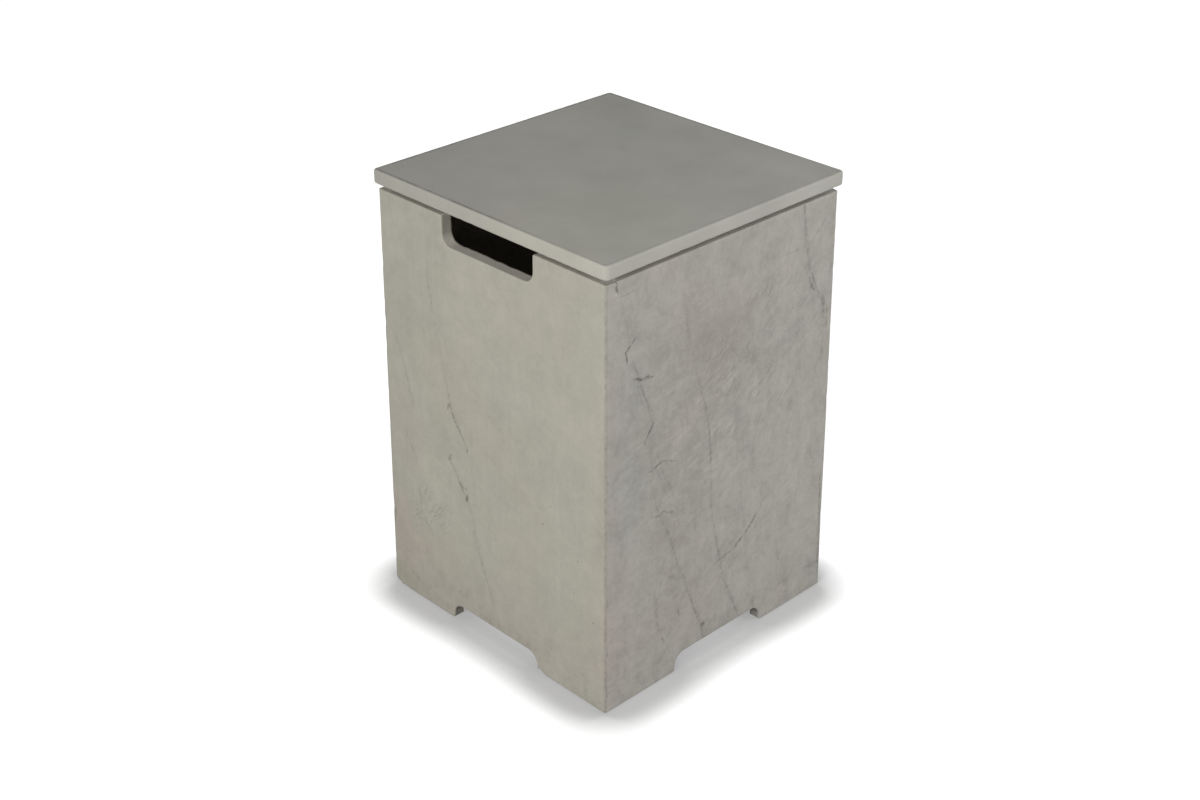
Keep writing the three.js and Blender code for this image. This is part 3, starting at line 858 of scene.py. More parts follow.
def make_stroke_group():
    """Adds a short straight scratch to a mask: 1 on the line from Start to End and fading to 0 at Width, thin
    at its ends. Place holds the place on the wall map and, as its third number, the strongest mask so far."""
    tree, given, result = new_group("stroke", (("Place", "Vector"), ("Start", "Vector"), ("End", "Vector"),
                                               ("Width", "Float"), ("Strength", "Float")),
                                    (("Place", "Vector"),))
    parts = node(tree, "SeparateXYZ", {0: given["Place"]}).outputs
    flat = node(tree, "CombineXYZ", {0: parts[0], 1: parts[1]}).outputs[0]
    span = vector(tree, "SUBTRACT", given["End"], given["Start"])
    reach = vector(tree, "SUBTRACT", flat, given["Start"])
    share = maths(tree, "DIVIDE", vector(tree, "DOT_PRODUCT", reach, span),
                  vector(tree, "DOT_PRODUCT", span, span), clamp=True)
    away = vector(tree, "DISTANCE", reach, vector(tree, "SCALE", span, share))
    from_middle = maths(tree, "ABSOLUTE", maths(tree, "SUBTRACT", share, 0.5))
    width = maths(tree, "MULTIPLY", given["Width"], scaled(tree, from_middle, *STROKE_TAPER))
    near = maths(tree, "SUBTRACT", 1.0, maths(tree, "DIVIDE", away, width), clamp=True)
    strongest = maths(tree, "MAXIMUM", parts[2], maths(tree, "MULTIPLY", near, given["Strength"]))
    marked = node(tree, "CombineXYZ", {0: parts[0], 1: parts[1], 2: strongest}).outputs[0]
    tree.links.new(marked, result.inputs["Place"])
    return tree


def make_pinhole_group():
    """Mask of small round air holes: cells of a Voronoi pattern, of which a share has a hole of the given
    size round its point."""
    tree, given, result = new_group("pinholes", (("Place", "Vector"), ("Scale", "Float"), ("Share", "Float"),
                                                 ("Size", "Float")), (("Mask", "Float"),))
    cells = node(tree, "TexVoronoi", {"Vector": given["Place"], "Scale": given["Scale"], "Randomness": 1.0})
    chosen = node(tree, "SeparateColor", {0: cells.outputs["Color"]})
    has_hole = maths(tree, "LESS_THAN", chosen.outputs[0], given["Share"])
    size = maths(tree, "MULTIPLY", given["Size"], scaled(tree, chosen.outputs[1], *HOLE_SIZES))
    near = maths(tree, "SUBTRACT", 1.0, maths(tree, "DIVIDE", cells.outputs["Distance"], size), clamp=True)
    hole = scaled(tree, near, *HOLE_RIM)
    tree.links.new(maths(tree, "MULTIPLY", hole, has_hole), result.inputs["Mask"])
    return tree


def make_mottle_group():
    """Cement that is uneven at every size from 3 cm to 1 mm, and drifts slowly in brightness and in tint."""
    tree, given, result = new_group("mottle", (("Place", "Vector"), ("Base", "Color"), ("Warm", "Color"),
                                               ("Cool", "Color"), ("Depth", "Float"), ("Drift", "Float")),
                                    (("Color", "Color"), ("Value", "Float")))
    tint = noise(tree, given["Place"], *TINT_NOISE)
    colour = blend_colour(tree, scaled(tree, tint, *WARM_PART), given["Base"], given["Warm"])
    colour = blend_colour(tree, scaled(tree, tint, *COOL_PART), colour, given["Cool"])
    cloud = maths(tree, "SUBTRACT", noise(tree, given["Place"], *CLOUD_NOISE), 0.5)
    drift = maths(tree, "SUBTRACT", noise(tree, given["Place"], *DRIFT_NOISE), 0.5)
    value = maths(tree, "MULTIPLY_ADD", cloud, given["Depth"], 1.0)
    value = maths(tree, "MULTIPLY_ADD", drift, given["Drift"], value)
    tree.links.new(vector(tree, "SCALE", colour, value), result.inputs["Color"])
    tree.links.new(value, result.inputs["Value"])
    return tree


def make_stain_group():
    """A soft stain: Tint multiplies the colour in full near Centre and not at all from Reach on, each a place
    or a size on the wall map."""
    tree, given, result = new_group("stain", (("Color", "Color"), ("Place", "Vector"), ("Centre", "Vector"),
                                              ("Reach", "Vector"), ("Tint", "Color")), (("Color", "Color"),))
    stained = blend_colour(tree, 1.0, given["Color"], given["Tint"], "MULTIPLY")
    near = scaled(tree, share_of_reach(tree, given), *STAIN_FADE)
    colour = blend_colour(tree, near, given["Color"], stained)
    tree.links.new(colour, result.inputs["Color"])
    return tree


def make_sweep_group():
    """Trowel sweeps: long thin streaks, turned by Turn on the wall map, strongest near Centre and gone at
    Reach."""
    tree, given, result = new_group("sweep", (("Place", "Vector"), ("Turn", "Vector"), ("Scale", "Float"),
                                              ("Centre", "Vector"), ("Reach", "Vector")),
                                    (("Value", "Float"),))
    turned = node(tree, "Mapping", {"Vector": given["Place"], "Rotation": given["Turn"]}).outputs[0]
    long = node(tree, "Mapping", {"Vector": turned, "Scale": SWEEP_STRETCH}).outputs[0]
    streak = scaled(tree, noise(tree, long, given["Scale"], *SWEEP_NOISE), *STREAKED_PART)
    patch = scaled(tree, noise(tree, given["Place"], *PATCH_NOISE), *SWEPT_PART)
    streak = maths(tree, "MULTIPLY", streak, patch)
    value = maths(tree, "MULTIPLY", streak, scaled(tree, share_of_reach(tree, given), *SWEEP_FADE))
    tree.links.new(value, result.inputs["Value"])
    return tree


STROKE = make_stroke_group()
PINHOLES = make_pinhole_group()
MOTTLE = make_mottle_group()
STAIN = make_stain_group()
SWEEP = make_sweep_group()

# Short marks on the walls: start (along, height), end, width in millimetres, and strength
FRONT_MARKS = (
    ((-75, 325), (-80, 314), 2.1, 0.8),
    ((-44, 274), (-45, 266), 2.4, 0.7),
    ((-75.5, 252), (-80, 242), 2.1, 0.9),
    ((-47, 203), (-48, 194), 3.0, 0.9),
    ((-62, 213), (-47, 211), 1.8, 0.7),
    ((-143, 172), (-139, 150), 3.2, 0.35),
    ((-127, 180), (-133, 168), 2.4, 0.3),
    ((-134, 132), (-118, 112), 2.2, 0.3),
    ((-100, 165), (-128, 120), 1.6, 0.3),
    ((-88, 172), (-112, 138), 1.5, 0.3),
    ((-178, 380), (-163, 350), 2.4, 0.22),
    ((-163, 350), (-147, 288), 2.4, 0.25),
    ((-165, 250), (-146, 215), 2.2, 0.22),
    ((-196, 118), (-199, 96), 3.0, 0.5),
)
RIGHT_MARKS = (
    ((-150, 494.5), (-159, 489), 2.0, 0.8),
    ((-159, 489), (-166, 482), 2.4, 1.0),
    ((-166, 482), (-165, 468), 2.0, 0.9),
    ((-153, 443), (-121, 435), 2.2, 1.0),
    ((-153, 437), (-142, 443), 1.0, 0.4),
    ((-122, 374), (-131, 362), 2.4, 1.0),
    ((-131, 362), (-137, 352), 1.8, 0.8),
    ((-127, 312), (-104, 318), 1.8, 0.8),
    ((-104, 318), (-84, 309), 1.1, 0.5),
    ((-121, 246), (-103, 248), 1.7, 0.6),
    ((-103, 248), (-86, 240), 1.8, 0.7),
    ((-29, 52), (-30, 44), 4.5, 0.9),
    ((86, 192), (66, 170), 1.1, 0.35),
    ((66, 170), (45, 149), 2.0, 0.8),
    ((45, 149), (22, 137), 2.1, 0.9),
    ((22, 137), (-9, 130), 2.0, 0.7),
    ((176, 542), (149, 516), 1.6, 0.35),
    ((149, 516), (94, 516), 2.2, 0.25),
    ((139, 540), (146, 498), 4.5, 0.26),
    ((146, 498), (152, 462), 4.0, 0.34),
    ((152, 465), (160, 452), 3.3, 0.7),
    ((178, 436), (182, 414), 4.5, 0.6),
    ((186, 420), (188, 392), 3.0, 0.5),
    ((192, 480), (188, 462), 2.0, 0.5),
    ((-175, 552), (-150, 552), 1.6, 0.35),
    ((18, 373), (25, 294), 4.5, 0.10),
    ((25, 294), (38, 203), 4.5, 0.12),
    ((38, 203), (60, 60), 4.0, 0.10),
    ((-131, 426), (-122, 295), 4.5, 0.13),
    ((-122, 295), (-123, 249), 4.0, 0.12),
    ((-118, 140), (-110, 78), 4.0, 0.26),
    ((193, 175), (199, 13), 2.4, 0.60),
    ((111, 99), (116, 78), 3.0, 0.28),
    ((117, 39), (141, 43), 3.4, 0.30),
    ((172, 40), (199, 40), 5.0, 0.40),
    ((-94, 151), (-69, 138), 4.0, 0.26),
    ((65, 46), (70, 22), 3.0, 0.30),
    ((-104, 68), (-101, 56), 2.4, 0.45),
    ((-200, 96), (-199, 84), 2.6, 0.55),
    ((-201, 66), (-200, 50), 2.4, 0.50),
    ((-200, 34), (-199, 24), 2.4, 0.45),
    ((-198, 168), (-198, 156), 2.2, 0.40),
    ((-197, 330), (-197, 312), 2.2, 0.35),
    ((-76, 94), (-73, 84), 2.2, 0.45),
)


# Soft stains: wall, centre (along, height), reach each way in millimetres, and the tint that they multiply by
STAINS = (
    (FRONT, (-178, 95), (55, 75), (1.01, 0.955, 0.97)),
    (FRONT, (-196, 20), (75, 34), (0.93, 0.93, 0.90)),
    (FRONT, (-20, 30), (330, 110), (1.01, 0.985, 0.995)),
    (FRONT, (205, 230), (42, 420), (1.025, 1.0, 1.01)),
    (FRONT, (-165, 250), (45, 110), (1.01, 0.985, 0.995)),
    (FRONT, (-20, 470), (150, 90), (1.04, 1.04, 1.03)),
    (FRONT, (-100, 90), (60, 60), (1.03, 1.02, 1.0)),
    (FRONT, (-70, 195), (130, 75), (1.045, 1.045, 1.04)),
    (FRONT, (45, 25), (60, 40), (0.95, 0.95, 0.95)),
    (FRONT, (-120, 440), (95, 100), (0.965, 0.965, 0.965)),
    (FRONT, (-160, 215), (60, 50), (1.04, 1.035, 1.04)),
    (FRONT, (-72, 135), (55, 40), (1.045, 1.045, 1.04)),
    (FRONT, (190, 170), (36, 60), (1.04, 1.04, 1.035)),
    (RIGHT, (-55, 500), (48, 34), (1.01, 0.97, 0.985)),
    (RIGHT, (-12, 452), (100, 58), (0.89, 0.885, 0.875)),
    (RIGHT, (-150, 340), (80, 140), (0.95, 0.95, 0.955)),
    (RIGHT, (-55, 345), (150, 180), (0.925, 0.925, 0.925)),
    (RIGHT, (-120, 460), (50, 50), (0.96, 0.96, 0.96)),
    (RIGHT, (-165, 425), (40, 60), (0.96, 0.97, 0.98)),
    (RIGHT, (-165, 300), (35, 110), (0.98, 1.0, 1.01)),
    (RIGHT, (-198, 290), (34, 190), (0.94, 0.945, 0.94)),
    (RIGHT, (140, 205), (50, 55), (1.05, 1.05, 1.045)),
    (RIGHT, (-15, 20), (90, 45), (0.93, 0.93, 0.925)),
    (RIGHT, (-95, 185), (60, 130), (0.97, 0.965, 0.955)),
    (RIGHT, (0, 270), (34, 140), (1.05, 1.05, 1.05)),
    (RIGHT, (112, 480), (45, 95), (1.05, 1.045, 1.04)),
    (RIGHT, (110, 250), (110, 170), (1.025, 1.025, 1.02)),
    (RIGHT, (110, 130), (110, 120), (1.04, 1.04, 1.035)),
    (RIGHT, (0, 395), (110, 50), (0.96, 0.96, 0.955)),
    (RIGHT, (0, 218), (60, 40), (0.96, 0.96, 0.955)),
    (RIGHT, (-60, 130), (60, 60), (0.97, 0.97, 0.965)),
    (RIGHT, (0, 183), (14, 13), (1.10, 1.10, 1.10)),
    (RIGHT, (3, 262), (12, 22), (1.07, 1.07, 1.07)),
)

# Trowel sweeps: wall, centre and reach as for the stains, turn in degrees, streaks a metre, and how much
# they add to the brightness
SWEEPS = (
    (RIGHT, (-60, 345), (140, 150), 14, 150.0, 0.19),
    (RIGHT, (-10, 360), (90, 110), 32, 190.0, 0.20),
    (RIGHT, (70, 400), (150, 190), 52, 330.0, -0.26),
    (RIGHT, (20, 160), (220, 160), 24, 200.0, -0.12),
    (FRONT, (10, 400), (150, 170), 42, 240.0, -0.06),
    (FRONT, (-60, 440), (120, 120), -40, 220.0, 0.06),
    (FRONT, (-120, 140), (58, 58), 42, 300.0, -0.26),
)


# Colours of the shell's cement. The right wall is a little less yellow than the front, and more mottled
SHELL_COLOURS = {"Base": (0.382, 0.374, 0.323, 1), "Warm": (0.386, 0.371, 0.321, 1),
                 "Cool": (0.379, 0.3722, 0.3235, 1)}
SIDE_TINT = (1.008, 0.99, 1.034, 1)
FRONT_MOTTLING, MORE_ON_RIGHT = 0.45, 0.36
SHELL_DRIFT = 0.16
WORN_COLOUR = (0.47, 0.455, 0.40, 1)
# Creases and marks are near black: partly their own dark lines, partly painted shade of their folds
CREASE_AND_SHADE_COLOUR = (0.05, 0.05, 0.04, 1)
HOLE_SHADE_COLOUR = (0.08, 0.085, 0.08, 1)
# The raw inside: its own rough mottling, darkened further with painted shade of the closed box
RAW_SHADED_COLOURS = ((0.14, 0.12, 0.09, 1), (0.23, 0.205, 0.17, 1))

# How much the streaks, the darkening near the foot and the painted shade on the arris between the two seen
# walls add to the brightness
STREAK_TONE = 0.15
FOOT_DARKENING_TONE = -0.13
FOOT_DARKENING_HEIGHTS = (0.12, 0.01)
ARRIS_SHADE_TONE = -0.14
ARRIS_PITTING = 0.26
ARRIS_SHADE_REACH = 30 * MM

# The shell's noises: cells a metre, detail, roughness and distortion
DRAG_NOISE = (110.0, 4.0, 0.75, 0.3)
DRAG_STRETCH = (1.0, 0.09, 1.0)
FOOT_BLOTCH_NOISE = (48.0, 4.0, 0.75)
WORN_NOISE = (60.0, 3.0)
BROKEN_NOISE = (170.0, 3.0, 0.6)
STRAY_NOISE = (60.0, 4.0, 0.6)
THREAD_NOISE = (45.0, 3.0)
SHOWN_NOISE = (26.0, 2.0)
PITTED_NOISE = (75.0, 3.0, 0.7)
RAW_NOISE = (160.0, 4.0)
GRAIN_NOISE = (700.0, 3.0, 0.65)
CAST_NOISE = (70.0, 3.0, 0.5)
RAW_GRAIN_NOISE = (260.0, 4.0, 0.7)

# How ragged marks and stains are: cells a metre, detail, and how far they are pushed about
MARK_JOSTLE = (110.0, 4.0, 7 * MM)
STAIN_JOSTLE = (28.0, 3.0, 70 * MM)

# Ranges in the shell's cement
RIGHT_WALL_START = (WALL_PITCH - 4 * MM, WALL_PITCH + 8 * MM)
FOOT_BLOTCH_PART = (0.48, 0.66)
ARRIS_SHADE_FADE = (0.38, 0.14)
WORN_PART = (0.30, 0.62, 0.25, 0.9)
UNBROKEN_PART = (0.38, 0.60, 0.35, 1.0)
THREAD_PART = (0.35, 0.66)
THREAD_WIDTHS = (0.45, 1.4)
SHOWN_PART = (0.38, 0.60, 0.5, 1.0)
PITTED_PART = (0.44, 0.62, 0.15, 1.0)
CROWDED_BAND = (0.9, 0.2)
UPWARD_PART = (0.0, 0.9)
SECTION_PART = (0.45, 0.15)
RAW_SHADED_PART = (0.55, 0.95)

# How much of each colour shows, how many cells have a hole, and how large the holes are
WORN_SHARE = 0.10
MARK_SHARE = 0.85
HOLE_SHARE = 0.68
CORNER_CROWD = 3.6
HOLES_ON_EDGES, HOLES_ELSEWHERE = 0.10, 0.012
SHELL_HOLES = {"Scale": 150.0, "Size": 0.20}

# Roughness of the shell's cement, and the heights of its relief in shares of the bump's distance
SHELL_ROUGHNESS, ROUGHNESS_OF_TONE, ROUGHNESS_OF_EDGE = 1.02, -0.30, 0.05
GRAIN_RELIEF, CAST_RELIEF, DRAG_RELIEF, RAW_RELIEF, HOLE_RELIEF = 0.06, 0.25, 0.10, 1.6, -1.2
SHELL_BUMP = 0.55

# Painted shade on the openings' upright sides and painted light on the faces that look up, and how much
# painted shade a notch's roof takes
LIP_LIGHT_AND_SHADE_TONES = (0.80, 1.36)
NOTCH_SHADE = 0.55
NOTCH_HEIGHT_MOST = 0.1
NOTCH_SHADE_HEIGHTS = (6 * MM, 20 * MM)

# Width of a mark that is listed as 1 wide
MARK_WIDTH = 1.3 * MM

# Threads of a crease: how far each strays and how wide it is, in shares of the groove's reach, and how dark.
# The widest and faintest thread is a painted soft shadow beside the crease
CREASE_LINES = ((0.8, 0.62, 0.60), (2.0, 0.36, 0.38), (0.5, 1.3, 0.24))

# Colours of the lid's cement
LID_COLOURS = {"Base": (0.378, 0.370, 0.334, 1), "Warm": (0.382, 0.371, 0.332, 1),
               "Cool": (0.370, 0.369, 0.338, 1)}
LID_WORN_COLOUR = (0.48, 0.47, 0.42, 1)
LID_HOLE_SHADE_COLOUR = (0.12, 0.12, 0.11, 1)
BRIM_COLOUR = (0.10, 0.10, 0.085, 1)
LID_STREAK_TURN = math.radians(24)

# The lid's brightness from its left side to its right, which is painted light, the painted shade that it
# loses at the back, and its greener patch
LID_PAINTED_LIGHT_SPAN = (0.962, 1.118)
LID_PAINTED_BACK_SHADE = -0.020
LID_BACK_SHADE_START = 0.06
LID_STAIN = {"Centre": (0.10, -0.11, LID_HIGH.z), "Reach": (0.15, 0.15, 1.0), "Tint": (0.985, 1.0, 0.972, 1)}

# The lid's noises, ranges, shares and relief, named as the shell's are
LID_MOTTLING, LID_SLOW_DRIFT, LID_STREAK_TONE = 0.14, 0.26, 0.07
LID_STREAK_NOISE = (70.0, 4.0, 0.6, 0.8)
LID_STREAK_STRETCH = (1.0, 0.14, 1.0)
LID_WORN_NOISE = (45.0, 3.0)
LID_WORN_PART = (0.30, 0.62, 0.3, 1.0)
LID_WORN_SHARE = 0.14
RUBBED_NOISE = (26.0, 4.0, 0.7)
RUBBED_PART = (0.40, 0.62, 0.45, 1.0)
BRIM_FADE = (0.14, -0.05, 0.2, 1.0)
BRIM_SHARE = 0.75
LID_HOLES_ON_EDGES, LID_HOLES_ELSEWHERE = 0.07, 0.008
LID_HOLES = {"Scale": 160.0, "Size": 0.15}
LID_HOLE_SHARE = 0.5
LID_ROUGHNESS, LID_ROUGHNESS_OF_TONE = 0.98, -0.35
LID_CAST_NOISE = (60.0, 3.0, 0.5)
LID_GRAIN_NOISE = (800.0, 3.0, 0.65)
LID_CAST_RELIEF, LID_GRAIN_RELIEF, LID_STREAK_RELIEF, LID_HOLE_RELIEF = 0.2, 0.05, 0.12, -1.0
LID_BUMP = 0.5

# Rubber: where dust lies, how rough it makes the rubber, and the grain's strength
DUST_NOISE = (130.0, 4.0)
DUSTY_PART = (0.42, 0.75)
DUST_ROUGHNESS = 0.2
RUBBER_BUMP = 0.3
RUBBER_BUMP_DISTANCE = 0.2 * MM

CEMENT_SPECULAR = 0.35
BUMP_DISTANCE = 0.5 * MM


def place_on_wall(wall, point):
    """A mark's point on the wall map, in metres."""
    return (wall * WALL_PITCH + FOOT_HALF + point[0] * MM, point[1] * MM, 0.0)


def size_on_wall(reach):
    """A stain's or a sweep's reach on the wall map, in metres."""
    return (reach[0] * MM, reach[1] * MM, 1.0)


def principled(name):
    """A new material with its node tree and its Principled BSDF."""
    material = bpy.data.materials.new(name)
    material.use_nodes = True
    tree = material.node_tree
    return material, tree, tree.nodes["Principled BSDF"]


def make_shell_cement():
    """Warm grey cast cement: mottling, upright drag streaks, trowel sweeps, soft stains, film creases with
    side hooks drawn as dark lines that are partly painted shade, pinholes dark with painted shade that gather
    at the upright corners, darker blotches above the feet, painted shade on the arris, on the openings' sides
    and on the notches' roofs, painted light on the faces that look up, and a raw inside darkened with painted
    shade."""
    material, tree, shader = principled("shell_cement")
    place = node(tree, "TexCoord").outputs["Object"]
    wall_map = node(tree, "UVMap", uv_map="wall_map").outputs[0]
    edge = attribute(tree, "edge")
    crease = attribute(tree, "crease")
    side = attribute(tree, "side_of_crease")
    from_corner = attribute(tree, "from_corner")
    inside = attribute(tree, "inside")

    # The hidden walls take the marks of the seen ones, mirrored
    parts = node(tree, "SeparateXYZ", {0: wall_map})
    height = parts.outputs[1]
    folded = maths(tree, "PINGPONG", parts.outputs[0], 2 * WALL_PITCH)
    outside = maths(tree, "LESS_THAN", parts.outputs[0], FAR_MAP / 2)
    on_right = scaled(tree, folded, *RIGHT_WALL_START)
    flat_place = node(tree, "CombineXYZ", {0: folded, 1: height}).outputs[0]
    map_place = jostled(tree, flat_place, wall_map, *MARK_JOSTLE)

    depth = maths(tree, "MULTIPLY_ADD", on_right, MORE_ON_RIGHT, FRONT_MOTTLING)
    mottle = node(tree, "Group", {"Place": place, **SHELL_COLOURS, "Depth": depth, "Drift": SHELL_DRIFT},
                  node_tree=MOTTLE).outputs
    tinted = blend_colour(tree, 1.0, mottle["Color"], SIDE_TINT, "MULTIPLY")
    colour = blend_colour(tree, on_right, mottle["Color"], tinted)

    # Soft stains, under rims that a slow noise makes ragged
    stain_place = jostled(tree, map_place, wall_map, *STAIN_JOSTLE)
    for wall, centre, reach, tint in STAINS:
        colour = node(tree, "Group", {"Color": colour, "Place": stain_place, "Tint": (*tint, 1),
                                      "Centre": place_on_wall(wall, centre), "Reach": size_on_wall(reach)},
                      node_tree=STAIN).outputs[0]

    # Upright drag streaks and trowel sweeps
    tall = node(tree, "Mapping", {"Vector": wall_map, "Scale": DRAG_STRETCH}).outputs[0]
    drag = noise(tree, tall, *DRAG_NOISE)
    tone = maths(tree, "MULTIPLY_ADD", maths(tree, "SUBTRACT", drag, 0.5), STREAK_TONE, 1.0)
    for wall, centre, reach, turn, fineness, gain in SWEEPS:
        swept = node(tree, "Group", {"Place": flat_place, "Centre": place_on_wall(wall, centre),
                                     "Reach": size_on_wall(reach), "Scale": fineness,
                                     "Turn": (0, 0, math.radians(-turn))}, node_tree=SWEEP).outputs[0]
        tone = maths(tree, "MULTIPLY_ADD", swept, gain, tone)

    # Darker blotches towards the feet, thinning out above them
    blotch = scaled(tree, noise(tree, wall_map, *FOOT_BLOTCH_NOISE), *FOOT_BLOTCH_PART)
    foot_darkening = maths(tree, "MULTIPLY", blotch, scaled(tree, height, *FOOT_DARKENING_HEIGHTS))
    tone = maths(tree, "MULTIPLY_ADD", foot_darkening, FOOT_DARKENING_TONE, tone)

    # Painted shade: the arris between the two seen walls is darker
    beside_arris = maths(tree, "ABSOLUTE", maths(tree, "SUBTRACT", folded, WALL_PITCH))
    arris = scaled(tree, from_corner, *ARRIS_SHADE_FADE)
    arris = maths(tree, "MULTIPLY", arris, maths(tree, "LESS_THAN", beside_arris, ARRIS_SHADE_REACH))
    tone = maths(tree, "MULTIPLY_ADD", arris, ARRIS_SHADE_TONE, tone)
    colour = vector(tree, "SCALE", colour, tone)

    # Pale worn edges, then creases, their hooks and other short marks, whose dark lines are partly painted
    # shade of their folds
    worn = maths(tree, "MULTIPLY", edge, scaled(tree, noise(tree, place, *WORN_NOISE), *WORN_PART))
    colour = blend_colour(tree, maths(tree, "MULTIPLY", worn, WORN_SHARE), colour, WORN_COLOUR)
    marked = map_place
    for wall, listed in ((FRONT, FRONT_MARKS), (RIGHT, RIGHT_MARKS)):
        for start, end, width, strength in listed:
            marked = node(tree, "Group", {"Place": marked, "Start": place_on_wall(wall, start),
                                          "End": place_on_wall(wall, end), "Width": width * MARK_WIDTH,
                                          "Strength": strength}, node_tree=STROKE).outputs[0]
    marks = maths(tree, "MULTIPLY", node(tree, "SeparateXYZ", {0: marked}).outputs[2], outside)
    broken = scaled(tree, noise(tree, wall_map, *BROKEN_NOISE), *UNBROKEN_PART)
    lines = maths(tree, "MULTIPLY", marks, MARK_SHARE)
    for number, (stray, width, dark) in enumerate(CREASE_LINES):
        wander = node(tree, "Mapping", {"Vector": wall_map, "Location": (number, 0.0, 0.0)}).outputs[0]
        offset = maths(tree, "SUBTRACT", noise(tree, wander, *STRAY_NOISE), 0.5)
        offset = maths(tree, "MULTIPLY", offset, stray)
        away = maths(tree, "ABSOLUTE", maths(tree, "SUBTRACT", side, offset))
        widths = (share * width for share in THREAD_WIDTHS)
        reach = scaled(tree, noise(tree, wander, *THREAD_NOISE), *THREAD_PART, *widths)
        thread = maths(tree, "SUBTRACT", 1.0, maths(tree, "DIVIDE", away, reach), clamp=True)
        shown = scaled(tree, noise(tree, wander, *SHOWN_NOISE), *SHOWN_PART)
        thread = maths(tree, "MULTIPLY", maths(tree, "MULTIPLY", thread, shown), crease)
        lines = maths(tree, "MAXIMUM", lines, maths(tree, "MULTIPLY", thread, dark))
    pitted = scaled(tree, noise(tree, wall_map, *PITTED_NOISE), *PITTED_PART)
    pitted = maths(tree, "MULTIPLY", maths(tree, "MULTIPLY", arris, pitted), ARRIS_PITTING)
    lines = maths(tree, "MAXIMUM", lines, pitted)
    colour = blend_colour(tree, maths(tree, "MULTIPLY", lines, broken), colour, CREASE_AND_SHADE_COLOUR)

    # Pinholes, dark with painted shade, many more of them on edges and beside the upright corners of the
    # right wall
    beside = maths(tree, "MULTIPLY", scaled(tree, from_corner, *CROWDED_BAND), on_right)
    crowded = maths(tree, "MAXIMUM", edge, maths(tree, "MULTIPLY", beside, CORNER_CROWD))
    hole_share = maths(tree, "MULTIPLY_ADD", crowded, HOLES_ON_EDGES, HOLES_ELSEWHERE)
    holes = node(tree, "Group", {"Place": place, "Share": hole_share, **SHELL_HOLES},
                 node_tree=PINHOLES).outputs[0]
    colour = blend_colour(tree, maths(tree, "MULTIPLY", holes, HOLE_SHARE), colour, HOLE_SHADE_COLOUR)

    # Painted light: the rim and the slot floors are pale where they face up. Painted shade: the openings'
    # sides and the notches' roofs are darker
    upward = node(tree, "SeparateXYZ", {0: node(tree, "NewGeometry").outputs["Normal"]}).outputs[2]
    in_notch = maths(tree, "LESS_THAN", height, NOTCH_HEIGHT_MOST)
    shade = maths(tree, "MULTIPLY", in_notch, scaled(tree, height, *NOTCH_SHADE_HEIGHTS, 0.0, NOTCH_SHADE))
    lip_light_and_shade = scaled(tree, upward, *UPWARD_PART, *LIP_LIGHT_AND_SHADE_TONES)
    lip_light_and_shade = maths(tree, "MULTIPLY", lip_light_and_shade, maths(tree, "SUBTRACT", 1.0, shade))
    lip_light_and_shade = maths(tree, "SUBTRACT", lip_light_and_shade, 1.0)
    off_section = maths(tree, "ABSOLUTE", maths(tree, "SUBTRACT", inside, 0.5))
    on_lip = scaled(tree, off_section, *SECTION_PART)
    colour = vector(tree, "SCALE", colour, maths(tree, "MULTIPLY_ADD", on_lip, lip_light_and_shade, 1.0))
    # The raw inside: its own rough mottling, darkened further with painted shade of the closed box
    raw = blend_colour(tree, noise(tree, place, *RAW_NOISE), *RAW_SHADED_COLOURS)
    colour = blend_colour(tree, scaled(tree, inside, *RAW_SHADED_PART), colour, raw)
    tree.links.new(colour, shader.inputs["Base Color"])

    roughness = maths(tree, "MULTIPLY_ADD", mottle["Value"], ROUGHNESS_OF_TONE, SHELL_ROUGHNESS)
    roughness = maths(tree, "SUBTRACT", roughness, maths(tree, "MULTIPLY", edge, ROUGHNESS_OF_EDGE))
    tree.links.new(roughness, shader.inputs["Roughness"])
    shader.inputs["Specular IOR Level"].default_value = CEMENT_SPECULAR

    grain = noise(tree, place, *GRAIN_NOISE)
    cast = noise(tree, place, *CAST_NOISE)
    raw_grain = maths(tree, "MULTIPLY", noise(tree, place, *RAW_GRAIN_NOISE), inside)
    relief = maths(tree, "MULTIPLY_ADD", grain, GRAIN_RELIEF, maths(tree, "MULTIPLY", cast, CAST_RELIEF))
    relief = maths(tree, "MULTIPLY_ADD", drag, DRAG_RELIEF, relief)
    relief = maths(tree, "MULTIPLY_ADD", raw_grain, RAW_RELIEF, relief)
    relief = maths(tree, "MULTIPLY_ADD", holes, HOLE_RELIEF, relief)
    bump = node(tree, "Bump", {"Strength": SHELL_BUMP, "Distance": BUMP_DISTANCE, "Height": relief})
    tree.links.new(bump.outputs[0], shader.inputs["Normal"])
    return material


